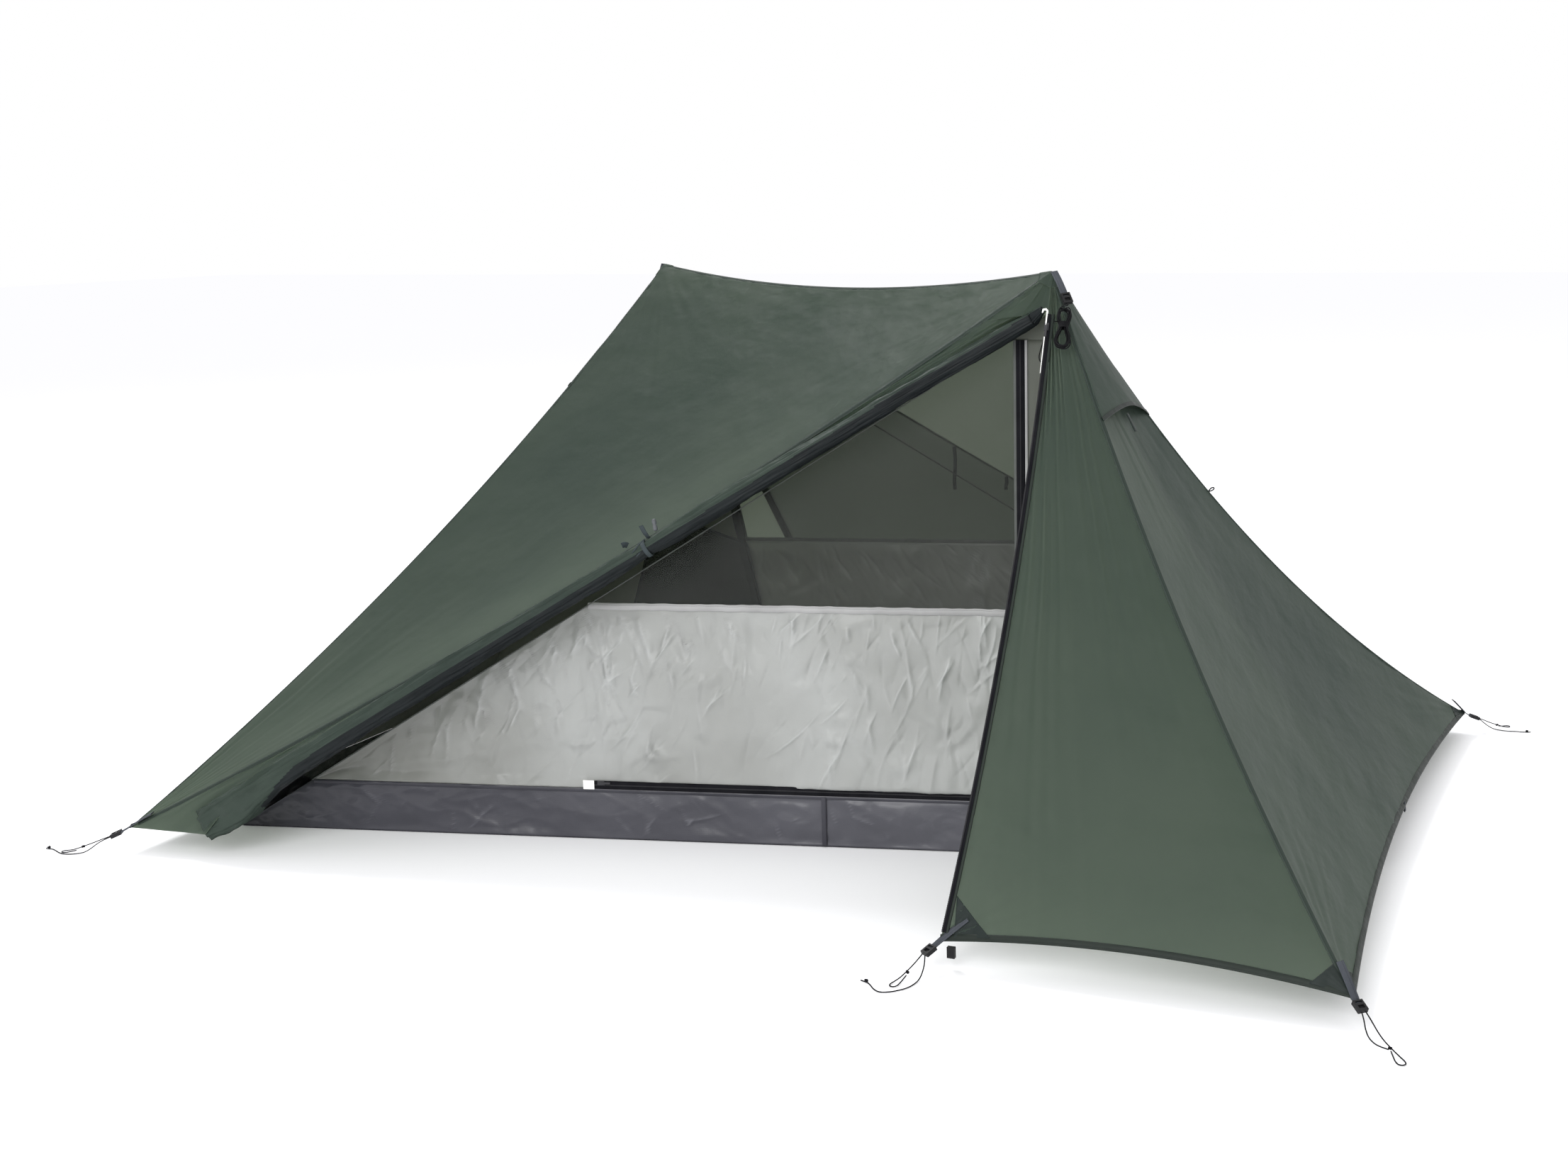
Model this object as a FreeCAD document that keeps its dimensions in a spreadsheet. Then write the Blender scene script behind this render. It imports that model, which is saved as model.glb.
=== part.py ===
import FreeCAD, Part
import Sketcher
import math
import os
from FreeCAD import Placement, Rotation, Vector

# Two-pole ridge tent. The fly sheet is a rectangle on the ground with two offset peaks, and the
# inner tent is a parallelogram under them. The tent repeats itself after half a turn about Z.
# +X runs along the long side, +Y to the rear, +Z up. The origin is on the ground at the centre.

document = FreeCAD.newDocument("tent")
sheet = document.addObject("Spreadsheet::Sheet", "dimensions")

DIMENSIONS = [
    # fly sheet
    ("fly_length", 2540),
    ("fly_width", 1700),
    ("hem_height", 50),
    ("peak_height", 1170),
    ("peak_across", 575),
    ("peak_back", 257),
    ("door_foot", 558),
    ("rear_door_foot", 380),
    ("fly_cloth", 2),
    ("seam_gap", 3),
    ("zip_gap", 15),
    ("ridge_sag", 42),
    ("hip_sag_left", 50),
    ("hip_sag_right", 90),
    ("corner_sag", 50),
    ("door_sag", 40),
    ("zip_bow", 20),
    ("end_hem_bow", 45),
    ("front_hem_rise", 25),
    ("peak_clearance", 32),
    # peak caps
    ("cap_width", 60),
    ("cap_depth", 60),
    ("cap_top_width", 16),
    ("cap_wall", 2),
    # vents
    ("vent_low", 0.82),
    ("vent_high", 0.955),
    ("hood_low", 0.78),
    ("hood_lift", 24),
    ("hood_gap", 5),
    ("vent_gap", 0.004),
    ("strut_length", 38),
    ("strut_width", 12),
    ("strut_place", 0.28),
    # inner tent
    ("floor_reach", 1166),
    ("floor_outer", 658),
    ("floor_inner", 144),
    ("floor_cloth", 2),
    ("inner_cloth", 1.5),
    ("inner_gap", 5),
    ("tub_height", 110),
    ("solid_height", 500),
    ("inner_peak_height", 1100),
    ("inner_peak_back", 228),
    ("inner_zip_top", 1040),
    ("inner_zip_width", 16),
    # poles
    ("pole_foot_back", 325),
    ("pole_top_back", 262),
    ("pole_length", 1148),
    ("upper_radius", 9),
    ("upper_bore", 7.9),
    ("upper_start", 560),
    ("upper_end", 1120),
    ("lower_radius", 7.5),
    ("lower_start", 24),
    ("lower_end", 660),
    ("foot_radius", 13),
    ("clamp_radius", 14),
    ("clamp_height", 34),
    ("lever_length", 42),
    ("lever_width", 16),
    ("lever_thickness", 6),
    # small hardware
    ("tensioner_length", 22),
    ("tensioner_width", 18),
    ("tensioner_height", 8),
    ("slider_length", 15),
    ("slider_width", 9),
    ("slider_height", 3.5),
    ("pull_length", 24),
    ("webbing_width", 16),
    ("webbing_thickness", 2),
    ("toggle_length", 26),
    ("toggle_radius", 4.5),
    ("cord_width", 2.2),
    ("knot_radius", 4),
    ("roll_radius", 24),
    ("roll_foot", 1096),
    ("roll_rise", 8),
    ("roll_taper", 0.5),
    ("hank_length", 92),
    ("hank_radius", 15),
]

for row, (alias, size) in enumerate(DIMENSIONS, start=1):
    sheet.set("A%d" % row, alias)
    sheet.set("B%d" % row, str(size))
    sheet.setAlias("B%d" % row, alias)
document.recompute()

pieces = []
UP = Vector(0, 0, 1)
HALF_TURN = Rotation(UP, 180)


def dim(alias):
    """The number in the cell with this alias."""
    return float(sheet.get(alias))


def bind(item, **cells):
    """Tie the object's properties to expressions of the sheet's cells."""
    for name, expression in cells.items():
        item.setExpression(name, expression)
    return item


def keep(item, label):
    """Name the object as one piece of the tent."""
    item.Label = label
    pieces.append(item)
    return item


def feature(label, shape):
    """A piece whose shape is worked out below from the sheet's sizes."""
    item = document.addObject("Part::Feature", label)
    item.Shape = shape
    item.Placement = shape.Placement
    return keep(item, label)


def group(label, shapes):
    """A piece made of several separate solids."""
    return feature(label, Part.makeCompound(shapes))


def turned(point):
    """The same place after the half turn that maps the tent on itself."""
    return HALF_TURN.multVec(point)


def turned_shape(shape):
    copy = shape.copy()
    copy.rotate(Vector(0, 0, 0), UP, 180)
    return copy


def upright(start, end):
    """Rotation that carries +Z onto the line from start to end."""
    return Rotation(UP, end - start)


def framed(x_axis, z_axis, origin):
    """Placement with its X along x_axis and its Z as near z_axis as it can be."""
    return Placement(origin, Rotation(x_axis, Vector(), z_axis, "XZY"))


# ---------------------------------------------------------------- main points of the tent

half_length = dim("fly_length") / 2
half_width = dim("fly_width") / 2
hem = dim("hem_height")
corner_front_left = Vector(-half_length, -half_width, hem)
corner_front_right = Vector(half_length, -half_width, hem)
corner_rear_right = turned(corner_front_left)
corner_rear_left = turned(corner_front_right)
door_foot = Vector(dim("door_foot"), -half_width, hem)
rear_door_foot = Vector(-dim("rear_door_foot"), half_width, hem)
front_peak = Vector(dim("peak_across"), -dim("peak_back"), dim("peak_height"))
rear_peak = turned(front_peak)

floor_left_front = Vector(-dim("floor_reach"), -dim("floor_outer"), 0)
floor_right_front = Vector(dim("floor_reach"), -dim("floor_inner"), 0)
floor_right_rear = turned(floor_left_front)
floor_left_rear = turned(floor_right_front)
inner_front_peak = Vector(dim("peak_across"), -dim("inner_peak_back"), dim("inner_peak_height"))
inner_rear_peak = turned(inner_front_peak)


# ---------------------------------------------------------------- curved fabric panels


def line_drop(start, end):
    """Unit vector square to the line that points as far down as it can."""
    along = (end - start).normalize()
    drop = along * along.z - UP
    return drop.normalize()


def seam(start, end, sag, toward=None):
    """Edge from start to end, as a function of 0 to 1, that bows by sag at its middle."""
    bow = (toward or line_drop(start, end)) * sag

    def place(t):
        return start + (end - start) * t + bow * (4 * t * (1 - t))

    return place


def reversed_seam(edge):
    def place(t):
        return edge(1 - t)

    return place


def sheet_face(left, right, low, high, left_gap, right_gap, hem_bow):
    """Smooth face between two edges, from their share low to their share high."""
    steps = 6
    grid = []
    for i in range(steps + 1):
        t = low + (high - low) * i / steps
        start = left(t)
        across = right(t) - start
        width = across.Length
        row = []
        for j in range(steps + 1):
            share = (left_gap + (width - left_gap - right_gap) * j / steps) / width
            row.append(start + across * share + hem_bow * ((1 - t) * 4 * share * (1 - share)))
        grid.append(row)
    surface = Part.BSplineSurface()
    surface.interpolate(grid)
    return surface.toShape()


def outward_normal(left, right, low, high):
    """Mean normal of the panel, on the side away from the middle of the tent."""
    base = right(low) - left(low)
    rise = left(high) - left(low)
    normal = base.cross(rise).normalize()
    middle = (left(low) + right(low) + left(high)) * (1 / 3)
    centre = Vector(0, 0, 0.25 * dim("peak_height"))
    if normal.dot(middle - centre) < 0:
        normal = normal * -1
    return normal


def panel(left, right, low=0.0, high=0.97, gaps=None, hem_bow=Vector(), lift=0.0, cloth=None):
    """Closed solid of one cloth panel, its outer face on the two edges, lifted by lift."""
    left_gap, right_gap = gaps or (dim("seam_gap"), dim("seam_gap"))
    normal = outward_normal(left, right, 0.0, high)
    face = sheet_face(left, right, low, high, left_gap, right_gap, hem_bow)
    face.translate(normal * lift)
    return face.extrude(normal * -(cloth or dim("fly_cloth")))


def clear_of_peaks(shape):
    """Open the panel round both peaks, where the caps sit."""
    for peak in (front_peak, rear_peak):
        radius = dim("peak_clearance")
        depth = 3 * dim("cap_depth")
        hole = Part.makeCylinder(radius, depth, peak - UP * (depth - 20))
        shape = shape.cut(hole)
    return shape


inward_left = Vector(0.9, 0, 0.43)
inward_right = Vector(-0.9, 0, 0.43)
hip_front_left = seam(corner_front_left, rear_peak, dim("hip_sag_left"))
hip_rear_right = seam(corner_rear_right, front_peak, dim("hip_sag_right"))
door_head = seam(corner_front_left, front_peak, dim("door_sag"))
rear_door_head = seam(corner_rear_right, rear_peak, dim("door_sag"))
edge_front_right = seam(corner_front_right, front_peak, dim("corner_sag"))
edge_rear_left = seam(corner_rear_left, rear_peak, dim("corner_sag"))
front_zip_line = seam(door_foot, front_peak, dim("zip_bow"), Vector(1, 0, 0))
rear_zip_line = seam(rear_door_foot, rear_peak, dim("zip_bow"), Vector(-1, 0, 0))
ridge_low = dim("seam_gap") / (front_peak - rear_peak).Length

# The two roof panels hang from the ridge and taper to one corner each.
roof_edges = [
    ("fly_roof_front", reversed_seam(hip_front_left), reversed_seam(door_head)),
    ("fly_roof_rear", reversed_seam(hip_rear_right), reversed_seam(rear_door_head)),
]
for label, left_edge, right_edge in roof_edges:
    solid = panel(left_edge, right_edge, low=ridge_low, hem_bow=UP * -dim("ridge_sag"))
    feature(label, clear_of_peaks(solid))

# Four panels rise from a hem to a peak. The ends stop at their vents.
zip_gaps = (dim("zip_gap"), dim("seam_gap"))
hem_panels = [
    ("fly_end_right", edge_front_right, hip_rear_right, dim("vent_low"), None,
     inward_right * dim("end_hem_bow")),
    ("fly_end_left", edge_rear_left, hip_front_left, dim("vent_low"), None,
     inward_left * dim("end_hem_bow")),
    ("fly_vestibule_front", front_zip_line, edge_front_right, 0.97, zip_gaps,
     UP * dim("front_hem_rise")),
    ("fly_vestibule_rear", rear_zip_line, edge_rear_left, 0.97, zip_gaps,
     UP * dim("front_hem_rise")),
    ("fly_door_rear", rear_zip_line, rear_door_head, 0.97, zip_gaps,
     UP * dim("front_hem_rise")),
]
for label, left_edge, right_edge, high, gaps, bow in hem_panels:
    solid = panel(left_edge, right_edge, high=high, gaps=gaps, hem_bow=bow)
    feature(label, clear_of_peaks(solid))

# Mesh windows above the end panels, and the hoods that stand off over them.
windows = []
hoods = []
for left_edge, right_edge in ((edge_front_right, hip_rear_right), (edge_rear_left, hip_front_left)):
    window_low = dim("vent_low") + dim("vent_gap")
    window = panel(left_edge, right_edge, low=window_low, high=dim("vent_high"))
    windows.append(clear_of_peaks(window))
    # The hood follows the two seams and arches away from the window towards its brim.
    normal = outward_normal(left_edge, right_edge, 0.0, dim("vent_high"))
    arch = normal * (dim("hood_lift") / (1 - dim("hood_low")))
    hood = panel(left_edge, right_edge, low=dim("hood_low"), high=dim("vent_high"),
                 hem_bow=arch, lift=dim("hood_gap"))
    hoods.append(clear_of_peaks(hood))
group("vent_meshes", windows)
group("vent_hoods", hoods)


# ---------------------------------------------------------------- peak caps

cap_items = []
for name, peak in (("front", front_peak), ("rear", rear_peak)):
    outer = document.addObject("Part::Cone", "cap_outer_" + name)
    bind(outer, Radius1="dimensions.cap_width / 2", Radius2="dimensions.cap_top_width / 2",
         Height="dimensions.cap_depth")
    hollow = document.addObject("Part::Cone", "cap_hollow_" + name)
    bind(hollow, Radius1="dimensions.cap_width / 2 - dimensions.cap_wall",
         Radius2="dimensions.cap_top_width / 2 - dimensions.cap_wall",
         Height="dimensions.cap_depth - dimensions.cap_wall")
    cap = document.addObject("Part::Cut", "peak_cap_" + name)
    cap.Base = outer
    cap.Tool = hollow
    cap.Placement = Placement(peak - UP * (dim("cap_depth") - 4), Rotation())
    cap_items.append(cap)
document.recompute()
group("peak_caps", [cap.Shape for cap in cap_items])


# ---------------------------------------------------------------- fly zips


def offset_edge(edge, step):
    def place(t):
        return edge(t) + step

    return place


tape_width = dim("zip_gap") - 1.5
front_tape = panel(front_zip_line, offset_edge(front_zip_line, Vector(tape_width, 0, 0)),
                   low=0.012, high=0.93, gaps=(0.5, 0.5))
rear_zip_half = dim("zip_gap") - 2.5
rear_tape = panel(offset_edge(rear_zip_line, Vector(-rear_zip_half, 0, 0)),
                  offset_edge(rear_zip_line, Vector(rear_zip_half, 0, 0)),
                  low=0.012, high=0.93, gaps=(0.5, 0.5))
group("fly_zip_tapes", [front_tape, rear_tape])


# ---------------------------------------------------------------- front door, tied back

# The open door is rolled up from its zip towards the seam over the doorway. A narrow triangle of
# it stays flat between that seam and the roll.
roll_low = Vector(-dim("roll_foot"), -half_width + 26, hem + 22)
roll_high = front_zip_line(0.928) + Vector(-38, 20, -8)
roll_line = seam(roll_low, roll_high, -dim("roll_rise"))
roll_path = Part.Wire(Part.Arc(roll_line(0), roll_line(0.5), roll_line(1)).toShape())


def along_roll(radius):
    """Round solid along the whole roll, of this radius at its foot and slimmer at its head."""
    foot = Part.makeCircle(radius, roll_line(0), roll_line(0.05) - roll_line(0))
    head = Part.makeCircle(radius * dim("roll_taper"), roll_line(1), roll_line(1) - roll_line(0.95))
    return roll_path.makePipeShell([Part.Wire(foot), Part.Wire(head)], True, True)


strip = panel(door_head, roll_line, low=0.02, high=0.9, gaps=(dim("seam_gap"), 0))
strip = clear_of_peaks(strip).cut(along_roll(dim("roll_radius") + 2))
feature("fly_door_front", max(strip.Solids, key=lambda solid: solid.Volume))
feature("fly_door_roll", along_roll(dim("roll_radius")))


# ---------------------------------------------------------------- small parts made as bodies


def origin_plane(body, role):
    for item in body.Origin.OriginFeatures:
        if item.Role == role:
            return item
    raise ValueError(role)


def rectangle(body, name, start, length, width, level="0"):
    """Sketch of a rectangle along X from start, centred on the X axis, at a height."""
    sketch = body.newObject("Sketcher::SketchObject", name)
    sketch.AttachmentSupport = (origin_plane(body, "XY_Plane"), "")
    sketch.MapMode = "FlatFace"
    sketch.setExpression("AttachmentOffset.Base.z", level)
    corners = [Vector(1, -1, 0), Vector(2, -1, 0), Vector(2, 1, 0), Vector(1, 1, 0)]
    for i in range(4):
        sketch.addGeometry(Part.LineSegment(corners[i], corners[(i + 1) % 4]))
    for i in range(4):
        sketch.addConstraint(Sketcher.Constraint("Coincident", i, 2, (i + 1) % 4, 1))
    sketch.addConstraint(Sketcher.Constraint("Horizontal", 0))
    sketch.addConstraint(Sketcher.Constraint("Horizontal", 2))
    sketch.addConstraint(Sketcher.Constraint("Vertical", 1))
    sketch.addConstraint(Sketcher.Constraint("Symmetric", 0, 1, 3, 1, -1))
    sizes = (
        ("start", Sketcher.Constraint("DistanceX", -1, 1, 0, 1, 1.0), start),
        ("length", Sketcher.Constraint("DistanceX", 0, 1, 0, 2, 1.0), length),
        ("width", Sketcher.Constraint("DistanceY", 1, 1, 1, 2, 2.0), width),
    )
    for label, constraint, expression in sizes:
        index = sketch.addConstraint(constraint)
        sketch.renameConstraint(index, label)
        sketch.setExpression("Constraints." + label, expression)
    return sketch


def pad(body, sketch, height):
    feature_pad = body.newObject("PartDesign::Pad", sketch.Name + "_pad")
    feature_pad.Profile = sketch
    feature_pad.setExpression("Length", height)
    return feature_pad


def tensioner_body():
    """Cord tensioner: a flat block with a window for the webbing and a toothed slot."""
    body = document.addObject("PartDesign::Body", "tensioner")
    outline = rectangle(body, "tensioner_outline", "0", "dimensions.tensioner_length",
                        "dimensions.tensioner_width")
    pad(body, outline, "dimensions.tensioner_height")
    window = rectangle(body, "tensioner_window", "3", "4", "dimensions.tensioner_width - 6",
                       "dimensions.tensioner_height")
    cut = body.newObject("PartDesign::Pocket", "tensioner_window_cut")
    cut.Profile = window
    cut.setExpression("Length", "dimensions.tensioner_height")
    slot = rectangle(body, "tensioner_slot", "11", "7", "dimensions.tensioner_width - 7",
                     "dimensions.tensioner_height")
    groove = body.newObject("PartDesign::Pocket", "tensioner_slot_cut")
    groove.Profile = slot
    groove.setExpression("Length", "dimensions.tensioner_height / 2")
    return body


def slider_body(name):
    """Zip slider: a plate that rides on the tape, with its pull tab lying along it."""
    body = document.addObject("PartDesign::Body", name)
    plate = rectangle(body, name + "_plate", "0", "dimensions.slider_length",
                      "dimensions.slider_width")
    pad(body, plate, "dimensions.slider_height")
    tab = rectangle(body, name + "_tab", "4", "dimensions.pull_length",
                    "dimensions.slider_width / 2", "dimensions.slider_height - 0.5")
    pad(body, tab, "1.8")
    return body


tensioner = tensioner_body()
document.recompute()


# ---------------------------------------------------------------- corner webbing and tensioners


def corner_frame(corner, heading, drop, distance):
    """Placement at a distance from the corner, with X along the pull and Z upwards."""
    along = Vector(heading.x, heading.y, 0).normalize() * math.cos(drop)
    along = along - UP * math.sin(drop)
    return framed(along, UP, corner + along * distance)


LINE_DROP = math.radians(22)
pulls = [
    (corner_front_left, Vector(-0.85, -0.526, 0), 18),
    (corner_front_right, Vector(0.66, -0.75, 0), 6),
    (door_foot, Vector(-0.5, -0.866, 0), 16),
    (corner_rear_right, Vector(0.85, 0.526, 0), 18),
    (corner_rear_left, Vector(-0.66, 0.75, 0), 6),
    (rear_door_foot, Vector(0.5, 0.866, 0), 16),
]
webbings = []
tensioners = []
for corner, heading, reach in pulls:
    strap = Part.makeBox(reach - 2, dim("webbing_width"), dim("webbing_thickness"))
    strap.translate(Vector(2, -dim("webbing_width") / 2, -dim("webbing_thickness") / 2))
    strap.Placement = corner_frame(corner, heading, LINE_DROP, 0) * strap.Placement
    webbings.append(strap)
    block = tensioner.Shape.copy()
    sunk = Placement(Vector(reach + 0.3, 0, -dim("tensioner_height") / 2), Rotation())
    block.Placement = corner_frame(corner, heading, LINE_DROP, 0) * sunk
    tensioners.append(block)

# The guy line's webbing and tensioner lie outside the seam below each peak.
seam_heading = (corner_front_right - front_peak).normalize()
seam_outward = Vector(0.42, -0.62, 0.66).normalize()
guy_frame = framed(seam_heading, seam_outward, front_peak + seam_outward * 8)
guy_strap = Part.makeBox(34, dim("webbing_width"), dim("webbing_thickness"))
guy_strap.Placement = guy_frame * Placement(Vector(26, -dim("webbing_width") / 2, 0), Rotation())
guy_block = tensioner.Shape.copy()
guy_block.Placement = guy_frame * Placement(Vector(60.3, 0, -2), Rotation())
webbings += [guy_strap, turned_shape(guy_strap)]
tensioners += [guy_block, turned_shape(guy_block)]
group("webbing_tabs", webbings)
group("line_tensioners", tensioners)

# Webbing loops: on the hips, on the end hems and on the seam over the front doorway.
loops = []
hip_loop_place = hip_rear_right(0.64)
hem_loop_place = Vector(half_length - dim("end_hem_bow") * 0.9, 60, hem + 8)
loop_outer = Part.makeBox(3, 14, 24)
loop_inner = Part.makeBox(3, 10, 17, Vector(0, 2, 3))
loop = loop_outer.cut(loop_inner)
for spot in (hip_loop_place + Vector(6, 6, 2), hem_loop_place + Vector(2, 0, -24)):
    placed = loop.copy()
    placed.translate(spot)
    loops += [placed, turned_shape(placed)]
tie_place = door_head(0.57) + Vector(0, -16, 4)
tie_loop = loop.copy()
tie_loop.rotate(Vector(), UP, 90)
tie_loop.translate(tie_place)
loops.append(tie_loop)
group("guy_out_loops", loops)

hem_clip = Part.makeBox(14, 8, 20, Vector(dim("door_foot") + 12, -half_width - 1, 20))
rear_clip = Part.makeBox(14, 8, 20, Vector(-dim("rear_door_foot") - 26, half_width - 7, 20))
group("hem_clips", [hem_clip, rear_clip])


# ---------------------------------------------------------------- inner tent

floor_outline = [floor_left_front, floor_right_front, floor_right_rear, floor_left_rear]


def flat_panel(points, cloth, gap, inward=True):
    """Closed solid on a flat outline, drawn in by a gap, thickened towards the room or away."""
    outline = Part.makePolygon(points + [points[0]])
    face = Part.Face(outline).makeOffset2D(-gap)
    normal = face.Faces[0].normalAt(0, 0)
    middle = points[0]
    if normal.dot(Vector(0, 0, 0.3 * dim("inner_peak_height")) - middle) < 0:
        normal = normal * -1
    return face.extrude(normal * (cloth if inward else -cloth))


def along_edge(low_point, peak, height):
    """Point at a height on the straight edge from a floor corner to a peak."""
    return low_point + (peak - low_point) * (height / (peak.z - low_point.z))


floor_solid = Part.Face(Part.makePolygon(floor_outline + [floor_outline[0]]))
feature("floor_sheet", floor_solid.extrude(UP * dim("floor_cloth")))

tub = dim("tub_height")
cloth = dim("inner_cloth")
gap = dim("inner_gap")
lift_off_floor = UP * (dim("floor_cloth") - gap + 2)


def tub_wall(start, end, start_peak, end_peak):
    """Wall of the tub between two floor corners, leaning with the panel above it."""
    foot = [start + lift_off_floor, end + lift_off_floor]
    head = [along_edge(end, end_peak, tub), along_edge(start, start_peak, tub)]
    return flat_panel(foot + head, cloth, gap)


long_wall = tub_wall(floor_left_front, floor_right_front, inner_front_peak, inner_front_peak)
end_wall = tub_wall(floor_right_front, floor_right_rear, inner_front_peak, inner_front_peak)
group("tub_long_walls", [long_wall, turned_shape(long_wall)])
group("tub_end_walls", [end_wall, turned_shape(end_wall)])

wall_run = (floor_right_front - floor_left_front).normalize()
wall_normal = wall_run.cross(inner_front_peak - floor_left_front).normalize()
wall_rise = wall_normal.cross(wall_run)
wall_height = (inner_front_peak - floor_left_front).dot(wall_rise)
peak_run = (inner_front_peak - floor_left_front).dot(wall_run)
wall_length = (floor_right_front - floor_left_front).Length


def wall_point(run, height):
    """Place on the front wall: run along the floor's edge, height up the wall."""
    return floor_left_front + wall_run * run + wall_rise * height


def wall_left(height):
    return peak_run * height / wall_height


def wall_right(height):
    return wall_length - (wall_length - peak_run) * height / wall_height


def run_at(across):
    """Run along the wall for a place across the tent."""
    return (across + dim("floor_reach")) / wall_run.x


def door_wall(zip_start, zip_foot, zip_head):
    """Solids of one long wall: door's lower cloth, its mesh, the side cloth, the zip tape."""
    band = dim("inner_zip_width")
    low = tub + 1
    solid = dim("solid_height")
    top = dim("inner_zip_top")

    def zip_run(height):
        return zip_foot + (zip_head - zip_foot) * (height - low) / (top - low)

    def inset(height, side):
        return zip_run(height) + side * (band / 2 - gap + 1)

    head = low + band
    outline = [(wall_left(low), low), (zip_start - 1, low), (zip_start - 1, head),
               (inset(head, -1), head), (inset(solid, -1), solid), (wall_left(solid), solid)]
    lower = flat_panel([wall_point(*spot) for spot in outline], cloth, gap)
    outline = [(wall_left(solid), solid), (inset(solid, -1), solid), (inset(top, -1), top),
               (wall_left(top), top)]
    mesh = flat_panel([wall_point(*spot) for spot in outline], cloth, gap)
    tip = 1085
    outline = [(inset(low, 1), low), (wall_right(low), low), (wall_right(tip), tip),
               (wall_left(tip), tip), (wall_left(top), top), (inset(top, 1), top)]
    side = flat_panel([wall_point(*spot) for spot in outline], cloth, gap)
    edge = 1.5
    base = low + gap
    outline = [(zip_start, base), (zip_run(base) + band / 2, base),
               (zip_run(top) + band / 2, top), (zip_run(top) - band / 2, top),
               (zip_run(base + band) - band / 2, base + band), (zip_start, base + band)]
    tape = flat_panel([wall_point(*spot) for spot in outline], cloth, edge)
    return lower, mesh, side, tape


inner_zip_start = run_at(-370)
front_zip_foot = run_at(513)
rear_zip_foot = run_at(350)
front_wall = door_wall(inner_zip_start, front_zip_foot, front_zip_foot)
rear_wall = [turned_shape(s) for s in door_wall(inner_zip_start, rear_zip_foot, front_zip_foot)]
for name, wall in (("front", front_wall), ("rear", rear_wall)):
    feature("inner_door_lower_" + name, wall[0])
    feature("inner_door_mesh_" + name, wall[1])
    feature("inner_side_" + name, wall[2])
group("inner_zip_tapes", [front_wall[3], rear_wall[3]])

high = dim("inner_peak_height") - 12
roof_points = [along_edge(floor_left_front, inner_front_peak, tub + 1),
               along_edge(floor_left_front, inner_front_peak, high),
               along_edge(floor_left_front, inner_rear_peak, high),
               along_edge(floor_left_front, inner_rear_peak, tub + 1)]
inner_roof = flat_panel(roof_points, cloth, gap)
end_points = [along_edge(floor_right_front, inner_front_peak, tub + 1),
              along_edge(floor_right_rear, inner_front_peak, tub + 1),
              along_edge(floor_right_rear, inner_front_peak, high),
              along_edge(floor_right_front, inner_front_peak, high)]
inner_end = flat_panel(end_points, cloth, gap)
feature("inner_roof_front", inner_roof)
feature("inner_roof_rear", turned_shape(inner_roof))
feature("inner_end_right", inner_end)
feature("inner_end_left", turned_shape(inner_end))

pocket_spots = [(1950, 200), (1870, 450), (1726, 536), (1612, 497), (1560, 200)]
pocket_lift = wall_normal * (cloth + 1.0)
if pocket_lift.y < 0:
    pocket_lift = pocket_lift * -1
pocket = flat_panel([wall_point(*spot) + pocket_lift for spot in pocket_spots], 1.0, 2)
feature("mesh_pocket", turned_shape(pocket))

clip_strap = Part.makeBox(12, 2, 22)
clip_strap.Placement = Placement(inner_front_peak + Vector(-6, -10, -6), Rotation())
group("inner_peak_clips", [clip_strap, turned_shape(clip_strap)])


# ---------------------------------------------------------------- poles

pole_foot = Vector(dim("peak_across"), -dim("pole_foot_back"), 0)
pole_top = Vector(dim("peak_across"), -dim("pole_top_back"), dim("pole_length"))
pole_turn = upright(pole_foot, pole_top)


def tube(name, radius, bore, start, end):
    """Round tube along Z, from its start to its end, bound to the sheet."""
    outer = document.addObject("Part::Cylinder", name + "_outer")
    hollow = document.addObject("Part::Cylinder", name + "_bore")
    bind(outer, Radius=radius, Height="%s - %s" % (end, start))
    bind(hollow, Radius=bore, Height="%s - %s" % (end, start))
    cut = document.addObject("Part::Cut", name)
    cut.Base = outer
    cut.Tool = hollow
    return cut


def on_pole(item, level, rear):
    """Stand the object on the front or the rear pole at a distance up it."""
    place = Placement(pole_foot, pole_turn) * Placement(UP * level, Rotation())
    if rear:
        place = Placement(Vector(), HALF_TURN) * place
    item.Placement = place
    return item


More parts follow.
